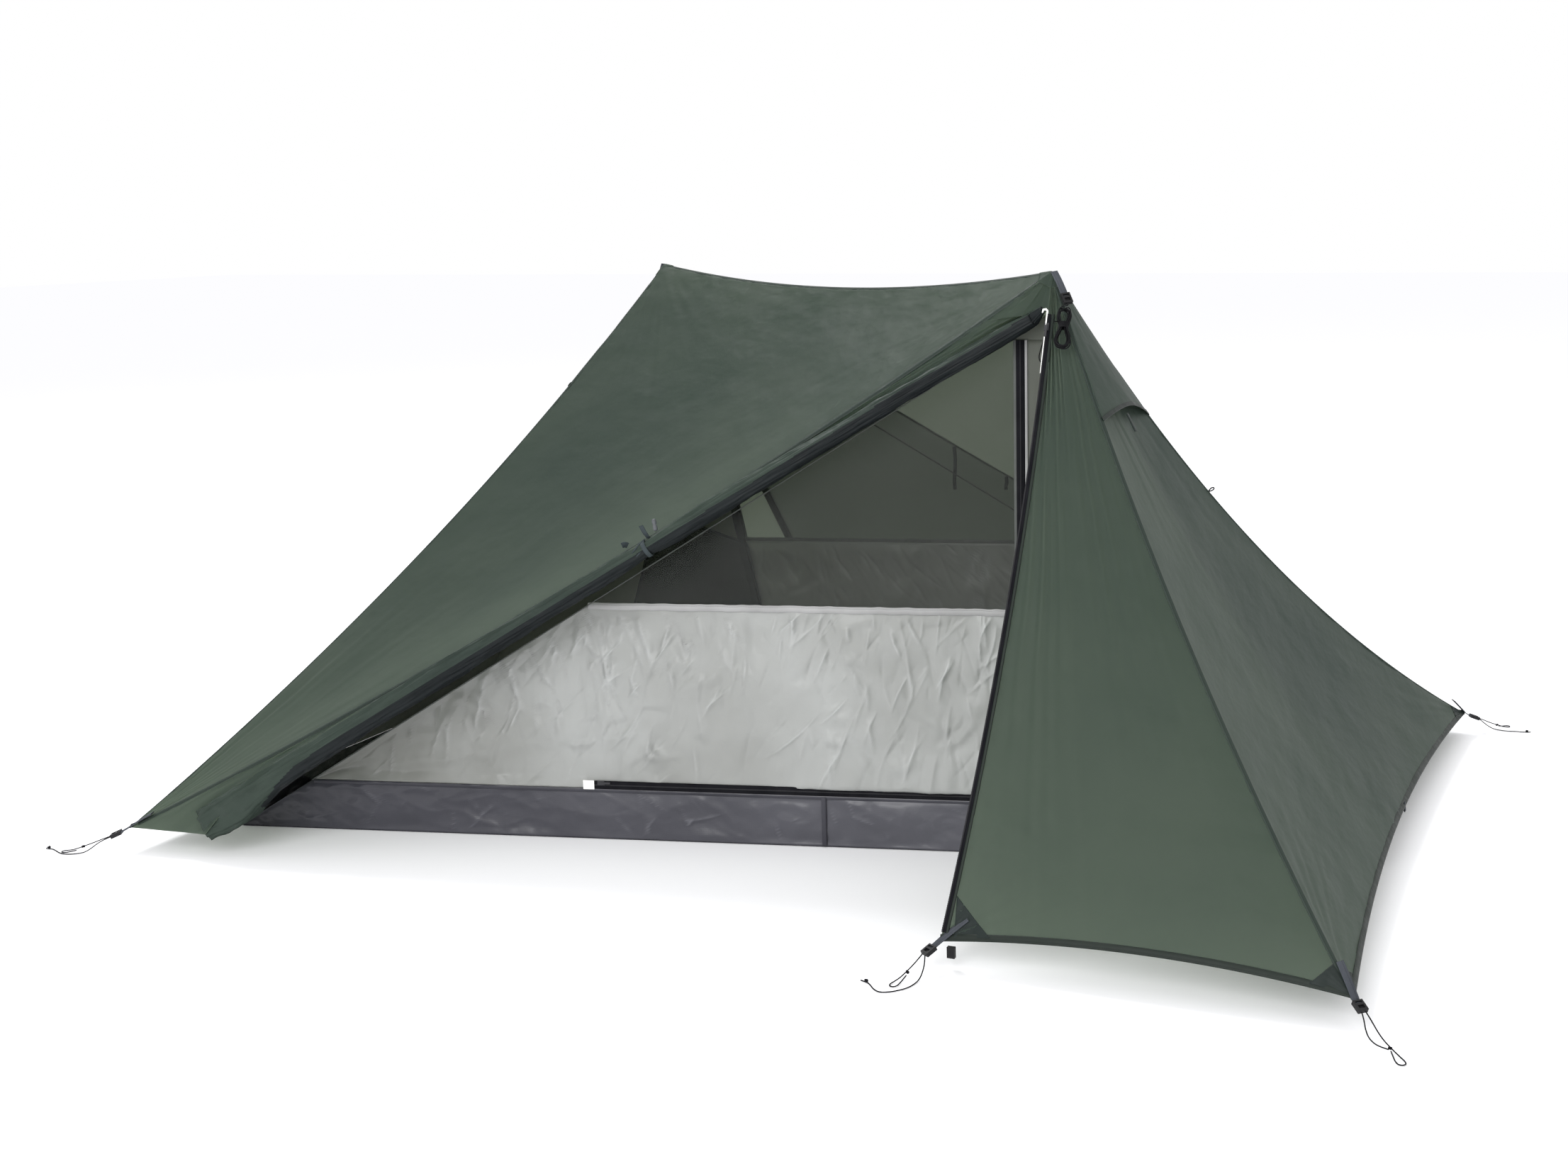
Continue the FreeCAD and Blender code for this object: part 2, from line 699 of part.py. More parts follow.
def clamp_parts(name):
    """Clamp ring with its ear and pin, and the lever that turns on the pin."""
    ring = tube(name + "_ring", "dimensions.clamp_radius", "dimensions.upper_radius + 0.15",
                "0", "dimensions.clamp_height")
    ear = document.addObject("Part::Box", name + "_ear")
    bind(ear, Length="6", Width="8.4", Height="10")
    ear.Placement = Placement(Vector(-3, -dim("clamp_radius") - 6.4, 12), Rotation())
    pin = document.addObject("Part::Cylinder", name + "_pin")
    bind(pin, Radius="1.8", Height="dimensions.lever_width")
    sideways = Rotation(Vector(0, 1, 0), 90)
    pin_place = Vector(-dim("lever_width") / 2, -dim("clamp_radius") - 4.4, 17)
    pin.Placement = Placement(pin_place, sideways)
    clamp = document.addObject("Part::MultiFuse", name)
    clamp.Shapes = [ring, ear, pin]

    plate = document.addObject("Part::Box", name + "_plate")
    bind(plate, Length="dimensions.lever_width", Width="dimensions.lever_thickness",
         Height="dimensions.lever_length")
    plate.Placement = Placement(
        Vector(-dim("lever_width") / 2, -dim("clamp_radius") - 7.4, 19.6 - dim("lever_length")),
        Rotation())
    slot = document.addObject("Part::Box", name + "_slot")
    bind(slot, Length="6.6", Width="12", Height="14")
    slot.Placement = Placement(Vector(-3.3, -dim("clamp_radius") - 10, 11.4), Rotation())
    eye = document.addObject("Part::Cylinder", name + "_eye")
    bind(eye, Radius="2.1", Height="dimensions.lever_width + 4")
    eye.Placement = Placement(pin_place - Vector(2, 0, 0), sideways)
    cutter = document.addObject("Part::MultiFuse", name + "_cutter")
    cutter.Shapes = [slot, eye]
    lever = document.addObject("Part::Cut", name + "_lever")
    lever.Base = plate
    lever.Tool = cutter
    return clamp, lever


clamps = []
tips = []
for name, rear in (("front", False), ("rear", True)):
    upper = tube("pole_upper_" + name, "dimensions.upper_radius", "dimensions.upper_bore",
                 "dimensions.upper_start", "dimensions.upper_end")
    keep(on_pole(upper, dim("upper_start"), rear), "pole_upper_" + name)
    lower = tube("pole_lower_" + name, "dimensions.lower_radius",
                 "dimensions.lower_radius - 1.2", "dimensions.lower_start",
                 "dimensions.lower_end")
    keep(on_pole(lower, dim("lower_start"), rear), "pole_lower_" + name)
    foot = document.addObject("Part::Cone", "pole_foot_" + name)
    bind(foot, Radius1="5", Radius2="dimensions.foot_radius", Height="dimensions.lower_start - 1")
    keep(on_pole(foot, 0.8, rear), "pole_foot_" + name)
    tip = document.addObject("Part::Cone", "pole_tip_" + name)
    bind(tip, Radius1="dimensions.upper_radius", Radius2="4",
         Height="dimensions.pole_length - dimensions.upper_end")
    tips.append(on_pole(tip, dim("upper_end"), rear))
    clamp, lever = clamp_parts("pole_clamp_" + name)
    clamps.append(on_pole(clamp, dim("upper_start") - 8, rear))
    keep(on_pole(lever, dim("upper_start") - 8, rear), "pole_lever_" + name)
document.recompute()
group("pole_clamps", [item.Shape for item in clamps])
group("pole_tips", [item.Shape for item in tips])


# ---------------------------------------------------------------- zip sliders, toggle, vent struts


def ride_zip(item, edge, share, towards_low, normal):
    """Lay the slider on the tape at a share of the zip, its pull hanging down the tape."""
    step = 0.01 if towards_low else -0.01
    heading = (edge(share - step) - edge(share)).normalize()
    item.Placement = framed(heading, normal, edge(share) + normal * 0.4)
    return item


front_zip_normal = outward_normal(front_zip_line, edge_front_right, 0.0, 0.97)
rear_zip_normal = outward_normal(rear_zip_line, edge_rear_left, 0.0, 0.97)
front_slider = slider_body("fly_slider_front")
keep(ride_zip(front_slider, front_zip_line, 0.915, True, front_zip_normal), "fly_slider_front")
rear_slider = slider_body("fly_slider_rear")
keep(ride_zip(rear_slider, rear_zip_line, 0.05, True, rear_zip_normal), "fly_slider_rear")

outside = wall_normal if wall_normal.y < 0 else wall_normal * -1
slider_level = tub + 1 + gap + dim("inner_zip_width") / 2
for name, half in (("front", False), ("rear", True)):
    slider = slider_body("inner_slider_" + name)
    origin = wall_point(inner_zip_start + 6, slider_level) + outside * 0.4
    place = framed(wall_run, outside, origin)
    if half:
        place = Placement(Vector(), HALF_TURN) * place
    slider.Placement = place
    keep(slider, "inner_slider_" + name)

toggle = document.addObject("Part::Cylinder", "door_toggle")
bind(toggle, Radius="dimensions.toggle_radius", Height="dimensions.toggle_length")
toggle_place = door_head(0.59) + Vector(-8, -23, 24)
toggle.Placement = Placement(toggle_place, upright(Vector(), Vector(0.45, -0.45, -1)))
keep(toggle, "door_toggle")

strut_edges = ((edge_front_right, hip_rear_right, "right"), (edge_rear_left, hip_front_left, "left"))
for left_edge, right_edge, name in strut_edges:
    normal = outward_normal(left_edge, right_edge, 0.0, dim("vent_high"))
    share = dim("strut_place")
    brim = left_edge(dim("hood_low")) * (1 - share) + right_edge(dim("hood_low")) * share
    lower = dim("hood_low") - 0.1
    below = left_edge(lower) * (1 - share) + right_edge(lower) * share
    down = (below - brim).normalize()
    stand = dim("hood_gap") + dim("hood_lift") * 4 * share * (1 - share) - 1
    strut = document.addObject("Part::Box", "vent_strut_" + name)
    bind(strut, Length="dimensions.strut_length", Width="dimensions.strut_width", Height="1.6")
    place = framed(down, normal, brim + normal * stand + down * 1.5)
    strut.Placement = place * Placement(Vector(0, -dim("strut_width") / 2, 0), Rotation())
    keep(strut, "vent_strut_" + name)


# ---------------------------------------------------------------- cords


def cord_tube(route):
    """Round cord along straight runs joined by arcs, each as large as its two runs allow."""
    points = [Vector(*spot) for spot in route]
    radius = dim("cord_width") / 2
    edges = []
    start = points[0]
    tightest = None
    for before, corner, after in zip(points, points[1:], points[2:]):
        back = (before - corner).normalize()
        ahead = (after - corner).normalize()
        shorter = min((before - corner).Length, (after - corner).Length)
        reach = 0.45 * shorter
        turn = math.pi - back.getAngle(ahead)
        bend = reach / math.tan(turn / 2)
        tightest = bend if tightest is None else min(tightest, bend)
        entry = corner + back * reach
        leave = corner + ahead * reach
        middle = (back + ahead).normalize()
        centre = corner + middle * (bend / math.cos(turn / 2))
        edges.append(Part.LineSegment(start, entry).toShape())
        edges.append(Part.Arc(entry, centre - middle * bend, leave).toShape())
        start = leave
    edges.append(Part.LineSegment(start, points[-1]).toShape())
    path = Part.Wire(edges)
    profile = Part.Wire(Part.makeCircle(radius, points[0], points[1] - points[0]))
    solid = path.makePipeShell([profile], True, True)
    share = solid.Volume / (math.pi * radius ** 2 * path.Length)
    print("cord %.0f mm long, tightest bend %.1f mm, volume share %.3f"
          % (path.Length, tightest, share))
    return solid


CORDS = {
    "cord_front_left": [
        [(-1304, -867, 34.6), (-1321, -873, 28.5), (-1341, -879.5, 20), (-1364, -886.5, 11.5),
         (-1380, -890.5, 5.4), (-1392, -893, 2.2), (-1401.5, -895.5, 1.4), (-1407, -901.5, 1.4),
         (-1403.5, -908.5, 1.4), (-1394.5, -908.5, 1.4), (-1385, -903.5, 2.6), (-1374, -896.5, 5)],
        [(-1300.5, -873.2, 34.6), (-1316, -878, 28), (-1331, -882, 19), (-1343, -888, 9),
         (-1353, -896, 2.4), (-1366, -907, 1.3), (-1384, -915, 1.3), (-1404, -913, 1.3),
         (-1424, -904, 1.3), (-1440, -898.5, 1.3), (-1454, -901, 1.3)],
    ],
    "cord_front_door": [
        [(536.6, -880, 35.2), (529, -890, 24), (518.5, -905.5, 12), (511, -921, 4.8),
         (505.5, -932, 2.4), (501.5, -941.5, 1.4), (503.5, -949.5, 1.4), (511, -951, 1.4),
         (516, -945, 1.4), (517, -934, 2), (518.5, -924, 4.6), (520, -914, 7.6)],
        [(542.8, -883.6, 35.0), (545, -890, 24), (544, -899, 10), (543, -912, 1.9),
         (541, -930, 1.3), (536, -947, 1.3), (525, -961, 1.3), (512, -972, 1.3),
         (498, -977.5, 1.3), (484, -970.5, 1.3), (470, -954.5, 1.3), (461, -947, 1.3),
         (448, -944, 1.3)],
    ],
    "cord_front_right": [
        [(1290.5, -868, 39.1), (1300, -877, 31), (1313, -892.5, 20), (1325, -905, 12),
         (1339, -917.5, 6.4), (1352, -930.5, 2.8), (1361, -940, 1.4), (1365.6, -948.6, 1.4),
         (1363.2, -956.4, 1.4), (1355.2, -957.2, 1.4), (1349.8, -950.2, 1.4), (1345, -939, 1.9),
         (1338.6, -922, 4.4)],
        [(1285.2, -872.8, 39.0), (1290, -880, 30), (1294, -889.5, 19), (1300.5, -899, 10),
         (1311, -906.5, 5), (1322, -911, 3.4), (1333, -915.6, 3.8)],
    ],
    "cord_rear_right": [
        [(1300.5, 873.2, 34.6), (1314, 883, 28), (1329, 894, 19), (1344, 906, 12),
         (1357, 917, 5.8), (1366, 924, 2.4), (1373.4, 930.6, 1.4), (1374, 938.4, 1.4),
         (1367, 942, 1.4), (1359.2, 936.4, 1.4), (1353, 928, 2.6), (1348, 918.5, 5)],
        [(1304.0, 867.0, 34.6), (1314, 873, 25), (1325, 881, 14), (1338, 889, 5),
         (1354, 893.5, 1.4), (1372, 893, 1.3), (1391, 896.5, 1.3), (1408, 895, 1.3),
         (1426, 902, 1.3)],
    ],
    "zip_pull_cords": [
        [(577, -311, 1056), (571, -307.5, 1040), (564.6, -305, 1024), (561.4, -305, 1011.5),
         (564.6, -305, 1001.4), (573.6, -305, 1000.8), (577.4, -305, 1011), (576, -305.4, 1024),
         (576, -308, 1038)],
        [(584.5, -311.5, 1054), (579.5, -310.6, 1038), (573, -311, 1020), (569, -311, 1008),
         (572.2, -311, 997.6), (581.2, -311, 997), (585.8, -311, 1007), (585, -311, 1020),
         (584.5, -310.6, 1036)],
    ],
}
for label, routes in CORDS.items():
    group(label, [cord_tube(route) for route in routes])

KNOTS = [(-1364, -887.5, 11.3), (-1447, -899.8, 4), (519, -907.5, 10.8), (460, -946.6, 4),
         (1336, -917, 6.6), (1345, 909, 10.4), (1417, 898.6, 4)]
group("cord_knots", [Part.makeSphere(dim("knot_radius") - 0.1, Vector(*spot)) for spot in KNOTS])

hank = document.addObject("Part::Ellipsoid", "guyline_hank")
bind(hank, Radius1="dimensions.hank_length / 2", Radius2="dimensions.hank_radius",
     Radius3="dimensions.hank_radius")
hank_top = Vector(618, -314, 1112)
hank_low = Vector(623, -356, 1028)
hank.Placement = Placement((hank_top + hank_low) * 0.5, upright(hank_low, hank_top))
keep(hank, "guyline_hank")


# ---------------------------------------------------------------- checks and files

document.recompute()
for item in document.Objects:
    if "Invalid" in item.State or "Error" in item.State:
        raise RuntimeError("%s is in state %s" % (item.Label, item.State))
for piece in pieces:
    if piece.Shape.isNull() or not piece.Shape.isValid() or not piece.Shape.Solids:
        raise RuntimeError("%s has no valid solid" % piece.Label)

os.makedirs("parts", exist_ok=True)
for piece in pieces:
    piece.Shape.exportStep("parts/%s.step" % piece.Label)
print("%d pieces written" % len(pieces))
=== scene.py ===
import math
import bpy
import numpy as np
from mathutils import Matrix, Vector


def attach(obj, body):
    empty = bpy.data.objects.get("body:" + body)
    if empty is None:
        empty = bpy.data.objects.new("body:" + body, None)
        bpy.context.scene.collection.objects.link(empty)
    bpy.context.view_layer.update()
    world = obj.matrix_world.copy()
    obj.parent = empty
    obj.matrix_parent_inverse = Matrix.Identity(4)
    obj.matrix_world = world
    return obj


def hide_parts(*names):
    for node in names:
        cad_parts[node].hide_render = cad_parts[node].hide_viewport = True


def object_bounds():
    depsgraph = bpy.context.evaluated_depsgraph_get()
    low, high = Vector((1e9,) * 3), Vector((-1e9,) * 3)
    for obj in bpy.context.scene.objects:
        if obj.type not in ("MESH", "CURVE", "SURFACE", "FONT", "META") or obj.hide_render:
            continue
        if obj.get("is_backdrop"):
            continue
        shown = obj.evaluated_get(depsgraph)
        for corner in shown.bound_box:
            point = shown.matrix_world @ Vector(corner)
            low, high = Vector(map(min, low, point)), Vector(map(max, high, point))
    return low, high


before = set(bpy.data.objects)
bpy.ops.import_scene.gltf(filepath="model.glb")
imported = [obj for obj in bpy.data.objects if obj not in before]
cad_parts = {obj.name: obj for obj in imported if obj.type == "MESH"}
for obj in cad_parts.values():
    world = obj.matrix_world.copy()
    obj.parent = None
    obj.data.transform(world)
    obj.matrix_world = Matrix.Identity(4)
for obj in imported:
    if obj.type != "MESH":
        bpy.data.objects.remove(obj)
cad_low, cad_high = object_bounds()

# Lengths below are in millimetres, as in the part's own table. MM turns them into metres.
MM = 0.001
UP = np.array([0.0, 0.0, 1.0])
HALF_TURN = np.array([-1.0, -1.0, 1.0])


def unit(vectors):
    """One vector, or each row of an array of them, at length one."""
    return vectors / np.linalg.norm(vectors, axis=-1, keepdims=True)


def spot(*numbers):
    return np.array(numbers, float) * MM


def turned(point):
    """The same place after the half turn that maps the tent on itself."""
    return point * HALF_TURN


def upward(vector):
    return vector if vector[2] > 0 else -vector


def lengths_along(points):
    """Distance of each point from the first, along the line through them."""
    return np.concatenate([[0], np.cumsum(np.linalg.norm(np.diff(points, axis=0), axis=1))])


def resampled(places, lengths, rows):
    """Rows of an array, read at these distances along the line that has these lengths."""
    return np.stack([np.interp(places, lengths, rows[:, i]) for i in range(3)], axis=1)


def add_object(name, data):
    made = bpy.data.objects.new(name, data)
    bpy.context.scene.collection.objects.link(made)
    return made


# ---------------------------------------------------------------- camera

FRAME_WIDTH = 2212
FOCAL_PIXELS = 2494
PRINCIPAL_X = 1387
AZIMUTH, DIP, ROLL = -0.3627, 0.2122, -0.01576
CAMERA_PLACE = (1.654, -3.501, 1.292)

camera_data = bpy.data.cameras.new("camera")
camera_data.sensor_width = 36
camera_data.lens = 36 * FOCAL_PIXELS / FRAME_WIDTH
camera_data.shift_x = (FRAME_WIDTH / 2 - PRINCIPAL_X) / FRAME_WIDTH
camera_data.clip_start = 0.05
camera_data.clip_end = 100
ahead = np.array([math.sin(AZIMUTH) * math.cos(DIP), math.cos(AZIMUTH) * math.cos(DIP),
                  -math.sin(DIP)])
level = np.array([math.cos(AZIMUTH), -math.sin(AZIMUTH), 0.0])
above = np.cross(level, ahead)
side = math.cos(ROLL) * level + math.sin(ROLL) * above
above = -math.sin(ROLL) * level + math.cos(ROLL) * above
camera_place = Matrix(np.column_stack([side, above, -ahead]).tolist()).to_4x4()
camera_place.translation = Vector(CAMERA_PLACE)
camera = add_object("camera", camera_data)
camera.matrix_world = camera_place
bpy.context.scene.camera = camera


# ---------------------------------------------------------------- materials

def shader_of(made):
    return made.node_tree.nodes["Principled BSDF"]


def new_material(name, color, roughness, **sockets):
    """Principled material with its plain values on the shader's own sockets."""
    made = bpy.data.materials.new(name)
    made.use_nodes = True
    shader = shader_of(made)
    shader.inputs["Base Color"].default_value = (*color, 1)
    shader.inputs["Roughness"].default_value = roughness
    for socket, value in sockets.items():
        shader.inputs[socket.replace("_", " ")].default_value = value
    return made


def node(tree, kind, **settings):
    """A new node. A setting that starts with a capital is a socket, any other a property."""
    made = tree.nodes.new(kind)
    for name, value in settings.items():
        if name[0].isupper():
            made.inputs[name.replace("_", " ")].default_value = value
        else:
            setattr(made, name, value)
    return made


def link(tree, source, target):
    tree.links.new(source, target)


def noise_node(tree, stretch=None, **settings):
    """Noise over the object's own coordinates, stretched along its axes if asked."""
    source = node(tree, "ShaderNodeTexCoord").outputs["Object"]
    if stretch:
        mapping = node(tree, "ShaderNodeMapping", Scale=stretch)
        link(tree, source, mapping.inputs["Vector"])
        source = mapping.outputs["Vector"]
    texture = node(tree, "ShaderNodeTexNoise", **settings)
    link(tree, source, texture.inputs["Vector"])
    return texture.outputs["Fac"]


def vary_color(made, color, other, scale, detail=3.0):
    """Blend slowly between two colours over the surface."""
    tree = made.node_tree
    ramp = node(tree, "ShaderNodeValToRGB")
    for end, position, tone in zip(ramp.color_ramp.elements, (0.3, 0.7), (color, other)):
        end.position = position
        end.color = (*tone, 1)
    link(tree, noise_node(tree, Scale=scale, Detail=detail), ramp.inputs["Fac"])
    link(tree, ramp.outputs["Color"], shader_of(made).inputs["Base Color"])


def mix_over(made, mask, color, blend="MIX"):
    """Lay one more colour over the base colour where a mask is white."""
    tree = made.node_tree
    base = shader_of(made).inputs["Base Color"]
    mix = node(tree, "ShaderNodeMix", data_type="RGBA", blend_type=blend)
    link(tree, mask, mix.inputs["Factor"])
    link(tree, base.links[0].from_socket, mix.inputs[6])
    mix.inputs[7].default_value = (*color, 1)
    link(tree, mix.outputs[2], base)


def add_bump(made, height, distance, strength):
    """Chain one more bump in front of the shader's normal."""
    tree = made.node_tree
    normal = shader_of(made).inputs["Normal"]
    bump = node(tree, "ShaderNodeBump", Strength=strength, Distance=distance)
    link(tree, height, bump.inputs["Height"])
    if normal.links:
        link(tree, normal.links[0].from_socket, bump.inputs["Normal"])
    link(tree, bump.outputs["Normal"], normal)


def noise_bump(made, scale, distance, strength, detail=4.0, stretch=(1, 1, 1), kind="FBM",
               distortion=0.0):
    height = noise_node(made.node_tree, stretch, noise_type=kind, Scale=scale, Detail=detail,
                        Distortion=distortion)
    add_bump(made, height, distance, strength)


def weave_bump(made, pitch, distance, strength):
    """Two crossing sets of threads, each pitch metres apart, on the UV map in metres."""
    tree = made.node_tree
    place = node(tree, "ShaderNodeTexCoord")
    larger = node(tree, "ShaderNodeMath", operation="MAXIMUM")
    for index, direction in enumerate("XY"):
        wave = node(tree, "ShaderNodeTexWave", bands_direction=direction, Scale=0.314 / pitch)
        link(tree, place.outputs["UV"], wave.inputs["Vector"])
        link(tree, wave.outputs["Fac"], larger.inputs[index])
    add_bump(made, larger.outputs["Value"], distance, strength)


STITCH_WIDTH, STITCH_SHARE = 0.0006, 0.72


def stitched(made, rows, pitch=0.004, darker=0.45):
    """Rows of dashed stitches at these places across the UV map, sunk into the cloth."""
    tree = made.node_tree

    def calculate(operation, first, second=0):
        result = node(tree, "ShaderNodeMath", operation=operation)
        for socket, value in zip(result.inputs, (first, second)):
            if isinstance(value, (int, float)):
                socket.default_value = value
            else:
                link(tree, value, socket)
        return result.outputs[0]

    split = node(tree, "ShaderNodeSeparateXYZ")
    link(tree, node(tree, "ShaderNodeTexCoord").outputs["UV"], split.inputs[0])
    along, across = split.outputs[:2]
    dash = calculate("LESS_THAN", calculate("FRACT", calculate("DIVIDE", along, pitch)),
                     STITCH_SHARE)
    on_a_row = 0
    for row in rows:
        off = calculate("ABSOLUTE", calculate("SUBTRACT", across, row))
        on_a_row = calculate("MAXIMUM", on_a_row, calculate("LESS_THAN", off,
                                                              STITCH_WIDTH / 2))
    mask = calculate("MULTIPLY", dash, on_a_row)
    add_bump(made, calculate("SUBTRACT", 1, mask), 0.0006, 0.8)
    mix_over(made, mask, (darker,) * 3, "MULTIPLY")


def let_light_through(made, share, tint):
    """Mix in the light that a thin cloth passes from its other side."""
    tree = made.node_tree
    through = node(tree, "ShaderNodeBsdfTranslucent", Color=(*tint, 1))
    mix = node(tree, "ShaderNodeMixShader", Fac=share)
    link(tree, shader_of(made).outputs["BSDF"], mix.inputs[1])
    link(tree, through.outputs["BSDF"], mix.inputs[2])
    link(tree, mix.outputs["Shader"], tree.nodes["Material Output"].inputs["Surface"])


def painted_fold_light(made, lighter):
    """Painted light: mix in a paler colour by the baked 'fold' mask, which holds painted highlights on
    the sharp folds and painted shade, darker at the wall's start.
    """
    fold = node(made.node_tree, "ShaderNodeAttribute", attribute_name="fold")
    mix_over(made, fold.outputs["Fac"], lighter)


FLY_COLORS = (0.058, 0.078, 0.064), (0.045, 0.064, 0.054)
FLY_LIGHT = (0.62, 0.68, 0.58)


def fly_material(name, color, other, share):
    """The fly's coated cloth, where share is how much light it passes."""
    made = new_material(name, color, 0.45, Specular_IOR_Level=0.12)
    vary_color(made, color, other, 3.4, detail=5.0)
    noise_bump(made, 8, 0.022, 0.5, stretch=(0.7, 0.7, 1.5))
    noise_bump(made, 46, 0.0016, 0.5, detail=5)
    weave_bump(made, 0.0045, 0.0002, 0.12)
    let_light_through(made, share, FLY_LIGHT)
    return made


fly_cloth = fly_material("fly_cloth", *FLY_COLORS, 0.52)
fly_end_cloth = fly_material("fly_end_cloth", *FLY_COLORS, 0.3)
fly_dark = fly_material("fly_dark", (0.018, 0.024, 0.022), (0.013, 0.019, 0.018), 0.06)
# Painted shade: the roll is a darker copy of the fly cloth, and its underside a still darker copy.
fly_roll_painted_shade = fly_material("fly_roll_painted_shade", (0.036, 0.05, 0.04), (0.022, 0.032, 0.027), 0.03)
fly_roll_under_painted_shade = fly_material("fly_roll_under_painted_shade", (0.012, 0.015, 0.016), (0.007, 0.009, 0.01), 0.02)
fly_seam = fly_material("fly_seam", (0.03, 0.041, 0.034), (0.024, 0.034, 0.029), 0.06)
stitched(fly_seam, (-0.003, 0.003))
fly_hem = fly_material("fly_hem", (0.02, 0.026, 0.022), (0.015, 0.02, 0.017), 0.03)
stitched(fly_hem, (0.004,))

inner_cloth = new_material("inner_cloth", (0.36, 0.37, 0.355), 0.3, Specular_IOR_Level=0.45)
vary_color(inner_cloth, (0.235, 0.238, 0.22), (0.40, 0.41, 0.40), 3.6, detail=4.0)
# Painted light on the silver cloth: pale highlights on its folds and painted shade towards the wall's
# start.
painted_fold_light(inner_cloth, (0.8, 0.82, 0.82))
noise_bump(inner_cloth, 12, 0.02, 0.6, detail=5, kind="RIDGED_MULTIFRACTAL", distortion=0.8)
noise_bump(inner_cloth, 60, 0.002, 0.5)
weave_bump(inner_cloth, 0.0035, 0.00015, 0.3)
let_light_through(inner_cloth, 0.36, (0.56, 0.56, 0.5))

# Painted shade: a darker copy of the inner cloth for the side panels and tips that lie in shade.
painted_shade_side_cloth = new_material("painted_shade_side_cloth", (0.17, 0.18, 0.16), 0.5, Specular_IOR_Level=0.3)
vary_color(painted_shade_side_cloth, (0.15, 0.16, 0.14), (0.2, 0.21, 0.19), 4.0)
noise_bump(painted_shade_side_cloth, 40, 0.002, 0.5)
let_light_through(painted_shade_side_cloth, 0.5, (0.55, 0.56, 0.5))

tub_cloth = new_material("tub_cloth", (0.05, 0.05, 0.062), 0.3, Specular_IOR_Level=0.4)
vary_color(tub_cloth, (0.022, 0.022, 0.03), (0.048, 0.048, 0.06), 4.0)
# Painted light on the tub: paler highlights on its folds and painted shade towards the wall's start.
painted_fold_light(tub_cloth, (0.26, 0.26, 0.29))
noise_bump(tub_cloth, 16, 0.008, 0.5, kind="RIDGED_MULTIFRACTAL", distortion=0.4)
noise_bump(tub_cloth, 70, 0.0012, 0.4)
weave_bump(tub_cloth, 0.004, 0.00015, 0.3)
let_light_through(tub_cloth, 0.08, (0.12, 0.12, 0.14))

silver_binding = new_material("silver_binding", (0.3, 0.3, 0.3), 0.5, Sheen_Weight=0.05)
vary_color(silver_binding, (0.27, 0.27, 0.27), (0.36, 0.36, 0.36), 12)
weave_bump(silver_binding, 0.002, 0.0002, 0.5)
stitched(silver_binding, (-0.004, 0.0045), pitch=0.005, darker=0.6)


def mesh_material(name, color, alpha):
    made = new_material(name, color, 0.8, Alpha=alpha, Specular_IOR_Level=0.2)
    vary_color(made, color, tuple(1.25 * part for part in color), 5.0)
    noise_bump(made, 30, 0.001, 0.3)
    return made


inner_mesh = mesh_material("inner_mesh", (0.06, 0.064, 0.06), 0.2)
pocket_mesh = mesh_material("pocket_mesh", (0.022, 0.022, 0.024), 0.62)
vent_mesh = mesh_material("vent_mesh", (0.02, 0.022, 0.021), 0.8)


def speckled(name, color, roughness, scale=300, distance=0.0002, weave=None, **sockets):
    """Surface with a fine grain and slightly uneven colour, woven at a pitch and depth if asked."""
    made = new_material(name, color, roughness, **sockets)
    vary_color(made, color, tuple(min(1, 1.3 * part + 0.004) for part in color), scale / 12)
    noise_bump(made, scale, distance, 0.4, detail=3)
    if weave:
        weave_bump(made, *weave, 0.8)
    return made


WEBBING_WEAVE = (0.0011, 0.0004)
black_plastic = speckled("black_plastic", (0.008, 0.008, 0.009), 0.5, Specular_IOR_Level=0.2)
grey_webbing = speckled("grey_webbing", (0.05, 0.055, 0.065), 0.8, weave=WEBBING_WEAVE,
                        Specular_IOR_Level=0.15)
stitched(grey_webbing, (-0.0045, 0.0045), pitch=0.003, darker=0.5)
pale_webbing = speckled("pale_webbing", (0.036, 0.046, 0.05), 0.8, weave=WEBBING_WEAVE,
                        Specular_IOR_Level=0.15)
black_tape = speckled("black_tape", (0.006, 0.006, 0.008), 0.85, weave=(0.0008, 0.0003),
                      Specular_IOR_Level=0.08)
zip_teeth = speckled("zip_teeth", (0.008, 0.008, 0.01), 0.5, Specular_IOR_Level=0.2)
inner_mesh_edge = speckled("inner_mesh_edge", (0.06, 0.065, 0.062), 0.7)
# Pale colour of the zip's start tag, and of the painted highlight along the head of the front zip.
pale_tag_and_painted_highlight = speckled("pale_tag_and_painted_highlight", (0.72, 0.72, 0.7), 0.4)
grey_plastic = speckled("grey_plastic", (0.045, 0.05, 0.055), 0.5)
pole_metal = speckled("pole_metal", (0.05, 0.05, 0.055), 0.32, scale=700, distance=0.00005,
                      Metallic=0.85)
pole_rubber = speckled("pole_rubber", (0.012, 0.012, 0.012), 0.8, Specular_IOR_Level=0.15)
slider_metal = speckled("slider_metal", (0.03, 0.03, 0.033), 0.35, Metallic=0.6)
black_cord = speckled("black_cord", (0.006, 0.006, 0.007), 0.8, scale=900, distance=0.0004,
                      Specular_IOR_Level=0.08)


# ---------------------------------------------------------------- cords

CORD_RADIUS = 1.1 * MM

